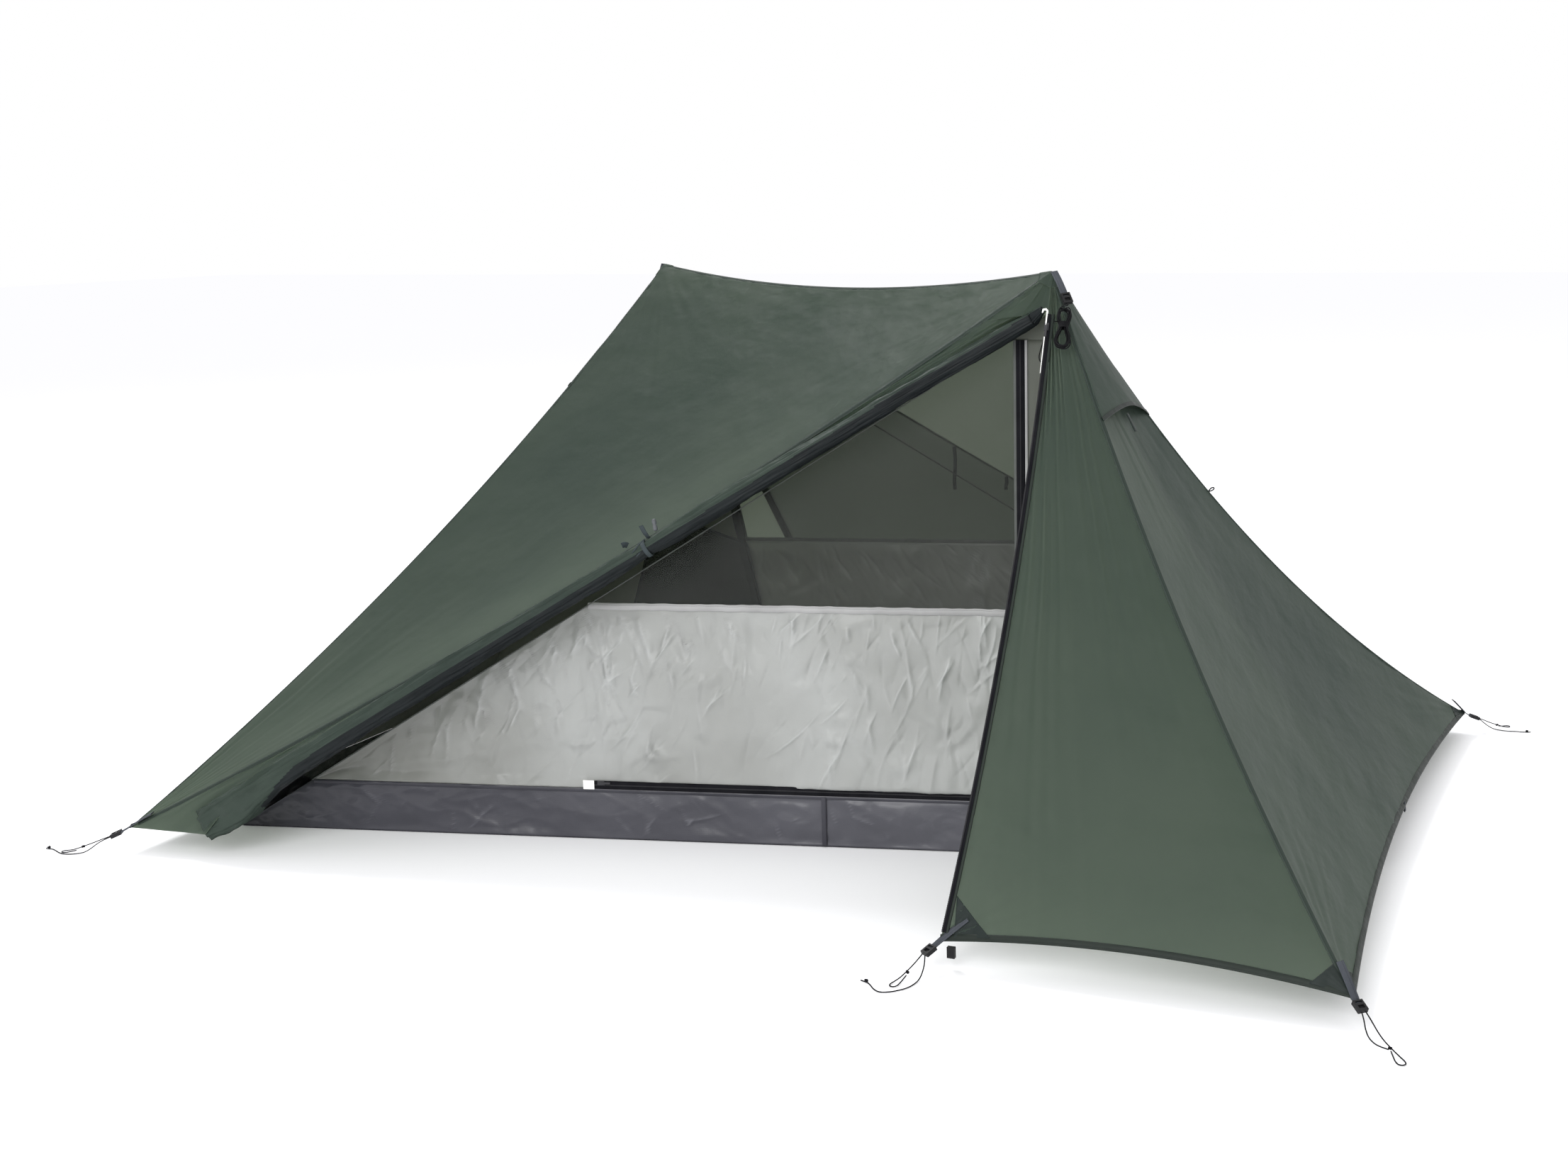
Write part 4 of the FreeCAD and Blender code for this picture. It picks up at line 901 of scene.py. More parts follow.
# Painted shade: faces on the roll's underside take the darker copy of the cloth, and the painted shade
# takes up more of the roll towards its head.
roll.data.materials.append(fly_roll_under_painted_shade)
for face in roll.data.polygons:
    corner = face.vertices[0]
    height = turn_y.flat[corner] + 0.35 * turn_x.flat[corner]
    reach = corner // AROUND / RINGS
    shade = 0.85 * reach - 0.15 - 2.0 * max(0.0, 1 - reach / 0.12)
    if height < shade + 0.12 * math.sin(reach * 9) + 2.2 * max(0.0, reach - 0.9):
        face.material_index = 1

# The door's strip between its seam and the roll, and past the roll's end up to the zip's head.
ROLL_SHARE = 0.925
u, t = grid_places(46, 340, 0.001, 0.999)
start = door_head(t)
on_roll = np.minimum(t / ROLL_SHARE, 1.0)
ring = np.clip((on_roll * (RINGS - 1)).astype(int), 0, RINGS - 1)
hold = ease(ROLL_SHARE - t, 0, 0.03)[..., None]
flap = np.clip(1 - t / 0.06, 0, 1)[..., None]
facing = roll_out[ring] * (0.35 + 0.3 * flap) + roll_up[ring] * (0.86 - 1.95 * flap)
touch = roll_centre(on_roll) + facing * (roll_size(on_roll) * MM)[..., None] * hold
past_roll = zip_line(0.935 + 0.065 * ease(t, ROLL_SHARE, 1 - ROLL_SHARE)) + spot(0, -2, 1)
across = np.where((t > ROLL_SHARE)[..., None], past_roll, touch) - start
width = np.linalg.norm(across, axis=-1)
door_normal = unit(np.cross(unit(P1 - A), unit(roll_low - A)))
door_normal *= -np.sign(door_normal[1])
slack = 0.12 * np.exp(-width / 0.12) * width
waves = 5.0 * cloud(u * 2.2 + 0.4 * t, t * 7, 71) + 3.5 * (ridged(u * 2.6 + t, t * 4, 72) - 0.4)
waves = waves * np.clip(width / 0.08, 0.15, 1)
pinch = 6.0 * noise(t * 60, u * 2, 73) * np.exp(-np.abs(t - TIE) / 0.06)
gather = (2.2 * noise(t * 170, u * 3, 74) * np.exp(-u * width / 0.025)
          * (0.35 + 1.6 * ease(t, 0.72, 0.28)) * np.clip(u * 20, 0, 1))
window = np.clip(u * 6, 0, 1) * np.clip((1 - u) * 8, 0, 1)
rise = ((waves + pinch) * window + gather) * MM - slack * hump(u)
strip_points = start + across * u[..., None] + door_normal * rise[..., None]
door_strip = grid_piece("door_strip", strip_points, fly_cloth, "fly_cloth",
                        np.stack([t * 2.25, u * width], axis=-1), "fly_door_front", thick=0.7)

# The seam over the doorway rolls down over the door's head.
points, way, normal = border(roof_front, "right", 260, 0.002, 0.99)
below = np.array([0.25, -0.35, -0.9])
offsets = [way * 7 + normal * 0.2, way * 5 + normal * 1.2, way * 1 + normal * 1.6,
           normal * 1.2 + below * 2.0, normal * 0.4 + below * 5.5]
strip_piece("seam_front_head", points, [shift * MM for shift in offsets], fly_seam, "fly_cloth")


# ---------------------------------------------------------------- inner tent

# Heights up the sloping walls, and the gap in the cloth that the inner zip closes.
FOOT, TUB, SOLID, ZIP_TOP, TIP = 2.6, 110.0, 500.0, 1040.0, 1092
BAND = 16.0
floor_a, floor_b = spot(-1166, -658, 0), spot(1166, -144, 0)
floor_c, floor_d = turned(floor_a), turned(floor_b)
IP1 = spot(575, -228, 1100)
IP2 = turned(IP1)


class Wall:
    """Flat wall on a floor edge. Places on it are given along the floor and up the wall."""

    def __init__(self, start, end, peak):
        self.start, self.run = start, unit(end - start)
        normal = unit(np.cross(self.run, peak - start))
        self.normal = normal if normal @ (start - UP * 0.4) > 0 else -normal
        self.rise = upward(np.cross(self.normal, self.run))
        self.length = np.linalg.norm(end - start) / MM
        self.height = (peak - start) @ self.rise / MM
        self.peak_run = (peak - start) @ self.run / MM

    def point(self, x, y, out=0.0):
        x, y, out = np.broadcast_arrays(*(np.asarray(v, float) for v in (x, y, out)))
        return self.start + (self.run * x[..., None] + self.rise * y[..., None]
                             + self.normal * out[..., None]) * MM

    def line(self, x0, y0, x1, y1, count=120):
        return self.point(np.linspace(x0, x1, count), np.linspace(y0, y1, count))

    def left(self, y):
        return self.peak_run * y / self.height

    def right(self, y):
        return self.length - (self.length - self.peak_run) * y / self.height

    def run_at(self, across):
        """Distance along the floor edge at which a place across the tent is met."""
        return (across * MM - self.start[0]) / self.run[0] / MM


def creases(x, y, count, seed, box, length, angles, height, width):
    """Sharp folds scattered over a cloth, each a tapering ridge on its own straight line."""
    draw = np.random.default_rng(seed)
    total = np.zeros(np.broadcast(x, y).shape)
    for _ in range(count):
        x0, y0 = draw.uniform(box[0], box[2]), draw.uniform(box[1], box[3])
        angle, half = draw.uniform(*angles), draw.uniform(*length) / 2
        high, wide = height * draw.uniform(0.35, 1.0), width * draw.uniform(0.7, 1.5)
        curl = draw.uniform(-0.002, 0.002)
        run = (x - x0) * math.cos(angle) + (y - y0) * math.sin(angle)
        off = (y - y0) * math.cos(angle) - (x - x0) * math.sin(angle) + curl * run ** 2
        inside = np.clip(1 - (run / half) ** 2, 0, 1)
        total = total + high * np.exp(-np.abs(off) / wide) * inside * draw.choice([-0.5, 1.0])
    return total


# Each form gives, for places on a wall and their distance from its edge, how far the cloth stands off
# and its mask of painted light: painted highlights on its sharp folds and painted shade along the
# wall.

# Painted highlight: the mask rises where a sharp fold stands high, over the painted shade in tone.
def painted_light_tone(tone, sharp, least, most, window):
    return np.clip(tone + 0.3 * np.clip(sharp - least, 0, most) / most * window, 0, 1)


def silver_form(seed, length):
    def form(x, y, edge):
        rise = 6.0 * cloud(x / 330, y / 240, seed) + 2.2 * cloud(x / 90, y / 120, seed + 1)
        fan = np.arctan2(y - 60, x + 60)
        reach = np.hypot(x, y - 60)
        rise = rise + 4.5 * noise(fan * 26, reach / 900, seed + 2) * np.exp(-reach / 520)
        rise = rise + 2.6 * noise(x / 26, y / 260, seed + 3) * np.exp(-(SOLID - y) / 70)
        rise = rise + 1.6 * noise(x / 18, y / 150, seed + 4) * np.exp(-(y - TUB) / 45)
        sharp = creases(x, y, 170, seed + 5, (150, 130, length, 500), (40, 170), (0.6, 1.9), 5.0, 3.0)
        sharp = sharp + creases(x, y, 190, seed + 6, (600, 320, length, 500), (30, 110), (0.8, 2.2),
                                6.5, 3.2)
        sharp = sharp + creases(x, y, 60, seed + 7, (450, 180, 900, 430), (80, 230), (1.1, 2.2),
                                6.5, 3.2)
        window = np.clip(edge / 22, 0, 1)
        # Painted shade: the cloth is darkest at the wall's start and pales towards its far end; the
        # cloud adds uneven tone.
        tone = 0.34 * np.clip(x / length, 0, 1) + 0.07 * cloud(x / 260, y / 140, seed + 8)
        return (rise * 1.9 + sharp) * window, painted_light_tone(tone, sharp, 1.2, 5.0, window)
    return form


def slack_form(seed, high=5.0, folds=1.6):
    def form(x, y, edge):
        rise = high * cloud(x / 300, y / 300, seed) + folds * cloud(x / 60, y / 170, seed + 1)
        return rise * np.clip(edge / 40, 0, 1), 0 * rise
    return form


def tub_form(seed, length):
    def form(x, y, edge):
        rise = 3.0 * cloud(x / 210, y / 80, seed) + 1.6 * cloud(x / 50, y / 60, seed + 1)
        rise = rise + 3.0 * ridged(x / 160 + y / 90, y / 120 - x / 400, seed + 2)
        sharp = creases(x, y, 120, seed + 3, (0, 10, length, 108), (25, 120), (0.2, 2.9), 2.6, 2.2)
        window = np.clip(edge / 14, 0, 1)
        # Painted shade: the tub is darkest at the wall's start and pales towards its far end.
        tone = 0.3 * np.clip(x / length, 0, 1)
        return (rise * 1.5 + sharp) * window, painted_light_tone(tone, sharp, 0.6, 2.4, window)
    return form


def wall_cloth(name, wall, left, right, low, high, columns, rows, material, slot, form, node_name,
               flat, thick=0.4, notch=None, rests_on="inner_peak_clips"):
    """Cloth on a wall between two lines, with its lower edge lifted by notch(x)."""
    u, t = grid_places(columns, rows)
    y = low + (high - low) * t
    x = left(y) + (right(y) - left(y)) * u
    if notch is not None:
        y = y + (1 - t) * notch(x)
    span = right(y) - left(y)
    edge = np.minimum(np.minimum(u * span, (1 - u) * span), np.minimum(y - low, high - y))
    rise, fold = form(x, y, np.maximum(edge, 0))
    piece = grid_piece(name, wall.point(x, y, rise - 1.6), material, slot,
                       np.stack([x, y], axis=-1) * MM, node_name, thick=thick)
    # The painted light mask, with fold highlights and shade, is stored on the cloth's points.
    painted_light_marks = piece.data.attributes.new("fold", "FLOAT", "POINT")
    painted_light_marks.data.foreach_set("value", fold.astype(np.float32).ravel())


def tub_wall(name, wall, columns, rows, form, node_name, flat):
    wall_cloth(name, wall, wall.left, wall.right, FOOT, TUB, columns, rows, tub_cloth, "floor_cloth",
               form, node_name, flat, thick=0.5, rests_on="floor_sheet")


BEAD_STEP = 0.0019


def zip_coil(name, line, across, normal, count=None, edge=0.6, shoulder=1.8):
    """Coil of a zip: a row of small beads along a line."""
    lengths = lengths_along(line)
    count = count or int(lengths[-1] / BEAD_STEP)
    beads = np.linspace(0, lengths[-1], count)
    line, across, normal = (resampled(beads, lengths, rows) for rows in (line, across, normal))
    swell = (1.6 + 0.35 * np.cos(np.arange(count) * math.pi))[:, None]
    profile = [(-1.0, edge), (-0.8, shoulder), (0.0, 2.3), (0.8, shoulder), (1.0, edge)]
    ribbon(name, line, across * swell, normal, profile, zip_teeth, "zip_tape")


def inner_zip(side, wall, zip_start, foot, zip_run):
    """The zip runs along the tub, turns its corner and runs up to the head of the door."""
    bend, low = 26.0, TUB + 9
    angle = np.linspace(-math.pi / 2, 0, 14)
    along = np.linspace(zip_start, foot - bend, 120)
    upper_y = np.linspace(low + 1 + bend, ZIP_TOP, 140)
    path_x = np.concatenate([along, foot - bend + bend * np.cos(angle), zip_run(upper_y)])
    path_y = np.concatenate([along * 0 + low, low + bend + bend * np.sin(angle), upper_y])
    ahead_x, ahead_y = np.gradient(path_x), np.gradient(path_y)
    size = np.hypot(ahead_x, ahead_y)
    across = (-ahead_y / size)[:, None] * wall.run + (ahead_x / size)[:, None] * wall.rise
    points = wall.point(path_x, path_y, 0.4)
    ribbon("zip_tape_" + side, points, across, wall.normal, flat_band(9, 1.2), black_tape,
           "zip_tape", "inner_zip_tapes")
    ribbon("zip_backing_" + side, wall.point(path_x, path_y, -9.0), across, -wall.normal,
           flat_band(10, 1.0), black_tape, "zip_tape")
    zip_coil("zip_coil_" + side, points, across, np.broadcast_to(wall.normal, points.shape),
             count=900, edge=0.9, shoulder=1.9)
    for label, shift, material in (("a", -10.5, inner_mesh_edge), ("b", 10.5, silver_binding)):
        ribbon("zip_flap_%s_%s" % (label, side), wall.point(zip_run(upper_y) + shift, upper_y, 0.4),
               wall.run, wall.normal, flat_band(3.4), material, "inner_cloth")


def wall_trim(side, wall, seam_x, zip_start, solid_end):
    """Tapes on a door wall: the tub's seam and binding, the cloth's binding, tag and corners."""
    out = wall.normal
    ribbon("tub_seam_" + side, wall.line(seam_x, 4, seam_x, TUB - 2, 30) + out * 2 * MM, wall.run,
           out, flat_band(5, 1.0), tub_cloth, "floor_cloth")
    ribbon("tub_binding_" + side,
           wall.line(wall.left(TUB) + 4, TUB - 3, wall.right(TUB) - 4, TUB - 3), wall.rise, out,
           flat_band(4.5, 1.0), tub_cloth, "floor_cloth")
    points = wall.line(wall.left(SOLID) + 4, SOLID + 1, solid_end, SOLID + 1, 160)
    wave = (0.8 * noise(np.linspace(0, 60, 160), 0, 152))[:, None] * wall.rise * MM
    ribbon("wall_binding_" + side, points + wave, wall.rise, out, flat_band(7.5, 1.4),
           silver_binding, "inner_cloth")
    start = wall.point(zip_start - 26, TUB + 9, 1.6)
    ribbon("zip_start_tag_" + side, np.linspace(start, start + wall.run * 24 * MM, 8), wall.rise,
           out, flat_band(10), pale_tag_and_painted_highlight, "grey_webbing")
    y = np.linspace(TUB, 1080, 120)
    for label, edge_of in (("left", wall.left), ("right", wall.right)):
        ribbon("wall_edge_%s_%s" % (label, side), wall.point(edge_of(y), y, 0.6), wall.run, out,
               flat_band(2.5), inner_mesh_edge, "inner_mesh")


front_wall = Wall(floor_a, floor_b, IP1)
rear_wall = Wall(floor_c, floor_d, IP2)
for side, wall, turn, foot_at, low_grid, low_seed, tub_columns, tub_seed in (
        ("front", front_wall, 1, 513, (430, 112), 101, 420, 121),
        ("rear", rear_wall, -1, 350, (230, 60), 131, 200, 141)):
    zip_start = wall.run_at(-370 * turn)
    foot, head = wall.run_at(foot_at * turn), wall.run_at(513 * turn)

    def zip_run(y, foot=foot, head=head):
        return foot + (head - foot) * (y - TUB) / (ZIP_TOP - TUB)

    def zip_left(y, zip_run=zip_run):
        return zip_run(y) - BAND / 2 + 2

    def zip_right(y, zip_run=zip_run):
        return zip_run(y) + BAND / 2 - 2

    wall_cloth("inner_wall_low_" + side, wall, wall.left, zip_left, TUB + 1, SOLID, *low_grid,
               inner_cloth, "inner_cloth", silver_form(low_seed, zip_start + 900),
               "inner_door_lower_" + side, (1.75, 0.40),
               notch=lambda x, start=zip_start: (BAND - 2) * ease(x, start - 18, 8))
    wall_cloth("inner_wall_net_" + side, wall, wall.left, zip_left, SOLID, ZIP_TOP, 90, 70,
               inner_mesh, "inner_mesh", slack_form(111), "inner_door_mesh_" + side, (1.1, 0.56),
               thick=0.3)
    # The side panel and tip take the inner cloth's darker copy: painted shade.
    wall_cloth("inner_wall_side_" + side, wall, zip_right, wall.right, TUB + 1, ZIP_TOP, 60, 90,
               painted_shade_side_cloth, "inner_cloth", slack_form(112, 3.5), "inner_side_" + side, (0.8, 0.95))
    wall_cloth("inner_wall_tip_" + side, wall, wall.left, wall.right, ZIP_TOP, TIP, 40, 16,
               painted_shade_side_cloth, "inner_cloth", slack_form(113, 1.0, 0.4), "inner_side_" + side,
               (0.2, 0.06))
    tub_wall("tub_wall_" + side, wall, tub_columns, 34, tub_form(tub_seed, 2300), "tub_long_walls",
             (2.4, 0.11))
    wall_trim(side, wall, wall.run_at(109 * turn), zip_start, zip_left(SOLID))
    inner_zip(side, wall, zip_start, foot, zip_run)

# The net roof panels hang from the peaks, down to the tub's outer corners.
for side, low, peak_a, peak_b in (("front", floor_a, IP1, IP2), ("rear", floor_c, IP2, IP1)):
    u, t = grid_places(70, 110)
    climb = (0.101 + 0.888 * t)[..., None]
    start, end = low + (peak_a - low) * climb, low + (peak_b - low) * climb
    normal = upward(unit(np.cross(peak_a - low, peak_b - low)))
    sag = 12 * hump(u) * t + 3.0 * cloud(u * 3 * t, t * 4, 161) * hump(u)
    points = start + (end - start) * u[..., None] - normal * (sag + 2.0)[..., None] * MM
    width = np.linalg.norm(end - start, axis=-1)
    piece = grid_piece("inner_roof_net_" + side, points, inner_mesh, "inner_mesh",
                       np.stack([u * width, t * 1.9], axis=-1), "inner_roof_" + side, thick=0.3)

for side, wall in (("right", Wall(floor_b, floor_c, IP1)), ("left", Wall(floor_d, floor_a, IP2))):
    wall_cloth("inner_end_cloth_" + side, wall, wall.left, wall.right, TUB + 1, wall.height - 12,
               70, 80, inner_cloth, "inner_cloth", slack_form(171, 6.0, 2.2), "inner_end_" + side,
               (0.82, 1.2))
    tub_wall("tub_end_" + side, wall, 150, 26, tub_form(175, 800), "tub_end_walls", (0.82, 0.11))

ridge = IP1 + (IP2 - IP1) * np.linspace(0.02, 0.98, 90)[:, None]
ribbon("inner_ridge_seam", ridge, unit(np.cross(IP2 - IP1, UP)), UP, flat_band(5, 1.0), black_tape,
       "zip_tape")

# Floor, with the soft unevenness of laid cloth.
u, t = np.meshgrid(np.linspace(0.003, 0.997, 170), np.linspace(0.003, 0.997, 80))
front_edge = floor_a + (floor_b - floor_a) * u[..., None]
rear_edge = floor_d + (floor_c - floor_d) * u[..., None]
ripple = 0.5 * (1 + cloud(u * 14, t * 7, 181))
ripple = ripple * np.clip(hump(u) * 6, 0, 1) * np.clip(hump(t) * 6, 0, 1)
points = front_edge + (rear_edge - front_edge) * t[..., None]
points = points + UP * (1.3 + np.clip(ripple, 0, 1.6))[..., None] * MM
piece = grid_piece("floor_cloth_sheet", points, tub_cloth, "floor_cloth",
                   np.stack([u * 2.33, t * 0.8], axis=-1), "floor_sheet", thick=0.5)

# Net pocket on the rear wall, with its bound edges. Its outline runs along the wall and up it.
pocket = np.array([(1950, 200), (1870, 450), (1726, 536), (1612, 497), (1560, 200)], float)
u, t = grid_places(60, 40)
upper = np.stack([np.interp(u, (0, 0.55, 1), pocket[1:4, i]) for i in range(2)], axis=-1)
lower = pocket[0] + (pocket[4] - pocket[0]) * u[..., None]
flat_points = lower + (upper - lower) * t[..., None]
inward = 12 + 3.5 * hump(u) * hump(t) + 1.0 * cloud(u * 5, t * 4, 191)
points = rear_wall.point(flat_points[..., 0], flat_points[..., 1], -inward)
piece = grid_piece("pocket_net", points, pocket_mesh, "inner_mesh", flat_points * MM, "mesh_pocket",
                   thick=0.3)
for index in range(5):
    start, end = pocket[index], pocket[(index + 1) % 5]
    way = unit(end - start)
    ribbon("pocket_binding_%d" % index, rear_wall.line(*start, *end, 40) - rear_wall.normal * 0.013,
           rear_wall.run * -way[1] + rear_wall.rise * way[0], -rear_wall.normal, flat_band(3.5),
           black_tape, "zip_tape")


# ---------------------------------------------------------------- fly zips

def tube_piece(name, path, radius, material, slot, node_name=None, body="tent", sides=10,
               closed=False):
    """Round tube along a path of points, with its ends closed or joined. Radii are in metres."""
    count = len(path)
    if closed:
        ahead = unit(np.roll(path, -1, axis=0) - np.roll(path, 1, axis=0))
    else:
        ahead = unit(np.gradient(path, axis=0))
    side = unit(np.cross(ahead[0], [0.31, 0.17, 0.93]))
    angle = np.linspace(0, 2 * math.pi, sides, endpoint=False)
    rings = []
    for place, way, size in zip(path, ahead, np.broadcast_to(radius, (count,))):
        side = unit(side - way * (side @ way))
        ring = np.cos(angle)[:, None] * side + np.sin(angle)[:, None] * np.cross(way, side)
        rings.append(place + ring * size)
    faces = grid_faces(count, sides, closed=True)
    last = (count - 1) * sides
    if closed:
        shift = int(np.argmin([np.linalg.norm(np.roll(rings[0], -k, axis=0) - rings[-1])
                               for k in range(sides)]))
        faces += [(last + k, last + (k + 1) % sides, (k + 1 + shift) % sides, (k + shift) % sides)
                  for k in range(sides)]
    else:
        faces += [tuple(range(sides))[::-1], tuple(last + k for k in range(sides))]
    uv = np.stack([np.repeat(np.arange(count) * 0.002, sides), np.tile(angle * 0.002, count)], 1)
    return mesh_piece(name, np.array(rings).reshape(-1, 3), faces, material, slot, uv, node_name,
                      body)


# The front tape is folded round the open edge, and the shut rear zip's tape lies flat.
ZIP_FOLD = [(7.0, 0.6), (7.4, 2.4), (10.5, 2.7), (12.2, 1.9), (12.6, 0.5)]
for side, panel, coil_shift, profile in (
        ("front", vestibule_front, 0.6,
         [(-1.2, -0.6), (-1.4, 0.6), (-0.6, 1.9), (6.4, 2.0), (7.2, 1.2), (7.2, 0.2)]),
        ("rear", vestibule_rear, 0, [(-9.5, 0.6), (-9.0, 2.0), (9.0, 2.0), (9.5, 0.6)])):
    points, way, normal = border(panel, "left", 260, 0.012, 0.93)
    ribbon("fly_zip_tape_" + side, points, way, normal, profile, black_tape, "zip_tape",
           "fly_zip_tapes")
    zip_coil("fly_zip_coil_" + side, points + (normal * 1.6 + way * coil_shift) * MM, way, normal)
    ribbon("fly_zip_fold_" + side, points, way, normal, ZIP_FOLD, fly_hem, "fly_cloth")
ribbon("fly_zip_backing_rear", points, way, -normal, [(-10, 4.4), (-10, 5.4), (10, 5.4), (10, 4.4)],
       black_tape, "zip_tape")

# A pale tube at the head of the front zip is a painted highlight where the zip's edge catches the
# light, and ends in a small hook.
points, way, normal = border(vestibule_front, "left", 60, 0.835, 0.935)
painted_highlight_line = points - way * 1.4 * MM + normal * 2.0 * MM
hook = [painted_highlight_line[-1] + (UP * 3 - way[-1] * 3) * MM, painted_highlight_line[-1] + (UP * 2.0 - way[-1] * 8) * MM,
        painted_highlight_line[-1] + (-UP * 4 - way[-1] * 10) * MM]
radius = np.concatenate([np.linspace(1.0, 2.1, 60), [2.2, 2.2, 1.4]]) * MM
tube_piece("zip_painted_highlight", np.concatenate([painted_highlight_line, hook]), radius, pale_tag_and_painted_highlight, "zip_tape")


# ---------------------------------------------------------------- peaks

def from_peak(edge, distance):
    """Place on a seam at a distance in millimetres below its peak."""
    return edge(1 - distance * MM / np.linalg.norm(edge(1.0) - edge(0.0)))


# Rings of a peak's cap: distance below the peak and height off the cloth, in millimetres.
CAP_RINGS = [(0.0, 1.0), (1.5, 1.1), (3.0, 1.3), (5, 1.5), (8, 1.6), (12, 1.7), (17, 1.7),
             (23, 1.7), (29, 1.6), (34, 1.5), (34.5, 0.7), (33.5, 0.0)]
CAP_STEPS = 16


def cap_place(edges, peak, normals, distance, lift, i, share):
    """Place on one ring, at a share of the way from one seam to the next."""
    start, end = from_peak(edges[i], distance), from_peak(edges[(i + 1) % 5], distance)
    weight = max(0.0, 0.5 - share * 3)
    normal = normals[i] * (1 - weight) + normals[i - 1] * weight
    weight = max(0.0, 0.5 - (1 - share) * 3)
    normal = unit(normal * (1 - weight) + normals[(i + 1) % 5] * weight)
    pleat = 0.5 * float(noise(i * 7 + share * 9, distance * 0.06, 201))
    place = start + (end - start) * share + (peak - start) * 0.1 * share * (1 - share)
    return place + (normal * (lift + pleat) - UP * 1.6 * math.exp(-distance / 3)) * MM


for name, peak, edges in (
        ("front", P1, (door_head, zip_line, edge_right, hip_right, ridge_from_rear)),
        ("rear", P2, (rear_head, rear_zip_line, edge_left, hip_left, ridge_from_front))):
    ways = [unit(from_peak(edge, 40) - peak) for edge in edges]
    normals = [upward(unit(np.cross(ways[i], ways[(i + 1) % 5]))) for i in range(5)]
    points = np.array([cap_place(edges, peak, normals, distance, lift, i, step / CAP_STEPS)
                       for distance, lift in CAP_RINGS for i in range(5) for step in range(CAP_STEPS)])
    around = 5 * CAP_STEPS
    uv = np.stack([np.tile(np.arange(around) * 0.002, len(CAP_RINGS)),
                   np.repeat([distance * MM for distance, _ in CAP_RINGS], around)], 1)
    mesh_piece("peak_cloth_" + name, points, grid_faces(len(CAP_RINGS), around, closed=True),
               fly_cloth, "peak_cap", uv, "peak_caps", thick=0.5)


# ---------------------------------------------------------------- webbing, loops and knots

def smooth_line(points, count):
    """Smooth path through the middle of a few control points."""
    points = np.asarray(points, float)
    for _ in range(3):
        ahead = points[:-1] * 0.75 + points[1:] * 0.25
        behind = points[:-1] * 0.25 + points[1:] * 0.75
        middle = np.stack([ahead, behind], axis=1).reshape(-1, 3)
        points = np.concatenate([points[:1], middle, points[-1:]])
    lengths = lengths_along(points)
    return resampled(np.linspace(0, lengths[-1], count), lengths, points)


# Outline of a strap: shares of its half width and of its thickness.
STRAP = [(-1, -0.25), (-1, 0.25), (-0.93, 0.5), (0, 0.54), (0.93, 0.5), (1, 0.25), (1, -0.25),
         (0.93, -0.5), (0, -0.5), (-0.93, -0.5), (-1, -0.25)]


def strap(name, points, across, material, node_name=None, half=7.0, thick=1.8, body="tent",
          slot="grey_webbing"):
    """Webbing strap with rounded edges along a smooth line."""
    line = smooth_line(points, 40)
    ahead = unit(np.gradient(line, axis=0))
    across = unit(across - ahead * (ahead @ across)[:, None])
    profile = [(a * half, b * thick) for a, b in STRAP]
    ribbon(name, line, across, np.cross(ahead, across), profile, material, slot, node_name, body)


# Each pegging point: its corner, the way its cord pulls, the strap's reach past the corner, and
# the point that its seam runs to.
CORD_DROP = math.radians(22)
door_way_front = unit(P1 - E) * 0.5 + unit(B - E) * 0.5
door_way_rear = unit(P2 - E_REAR) * 0.5 + unit(D - E_REAR) * 0.5
for name, corner, heading, reach, inward, out in (
        ("front_left", A, (-0.85, -0.526), 18, P1 - A, None),
        ("front_right", B, (0.66, -0.75), 6, P1 - B, None),
        ("front_door", E, (-0.5, -0.866), 16, door_way_front, vestibule_front.normal),
        ("rear_right", C, (0.85, 0.526), 18, P1 - C, None),
        ("rear_left", D, (-0.66, 0.75), 6, P2 - D, None),
        ("rear_door", E_REAR, (0.5, 0.866), 16, door_way_rear, vestibule_rear.normal)):
    level = unit(np.array([*heading, 0.0]))
    along = level * math.cos(CORD_DROP) - UP * math.sin(CORD_DROP)
    across = np.cross(UP, level)
    inward = unit(inward)
    if out is None:
        out = upward(unit(np.cross(across, inward)))
    path = [corner + (inward * back + out * lift) * MM for back, lift in ((62, 2.2), (40, 2.6),
                                                                          (14, 2.6))]
    path += [corner + (along + out * 1.6) * MM, corner + along * (reach - 2) * MM,
             corner + along * (reach + 5.0) * MM]
    strap("corner_strap_" + name, path, across, grey_webbing, "webbing_tabs")

seam_way = unit(B - P1)
seam_out = unit(np.array([0.42, -0.62, 0.66]))
seam_out = unit(seam_out - seam_way * (seam_out @ seam_way))
for name, peak, flip in (("front", P1, 1), ("rear", P2, HALF_TURN)):
    way, out = seam_way * flip, seam_out * flip
    path = [peak + (way * run + out * lift) * MM for run, lift in ((3, 4.5), (20, 7.5), (40, 9),
                                                                   (66, 9))]
    strap("guy_strap_" + name, path, np.cross(way, out), grey_webbing, "webbing_tabs")

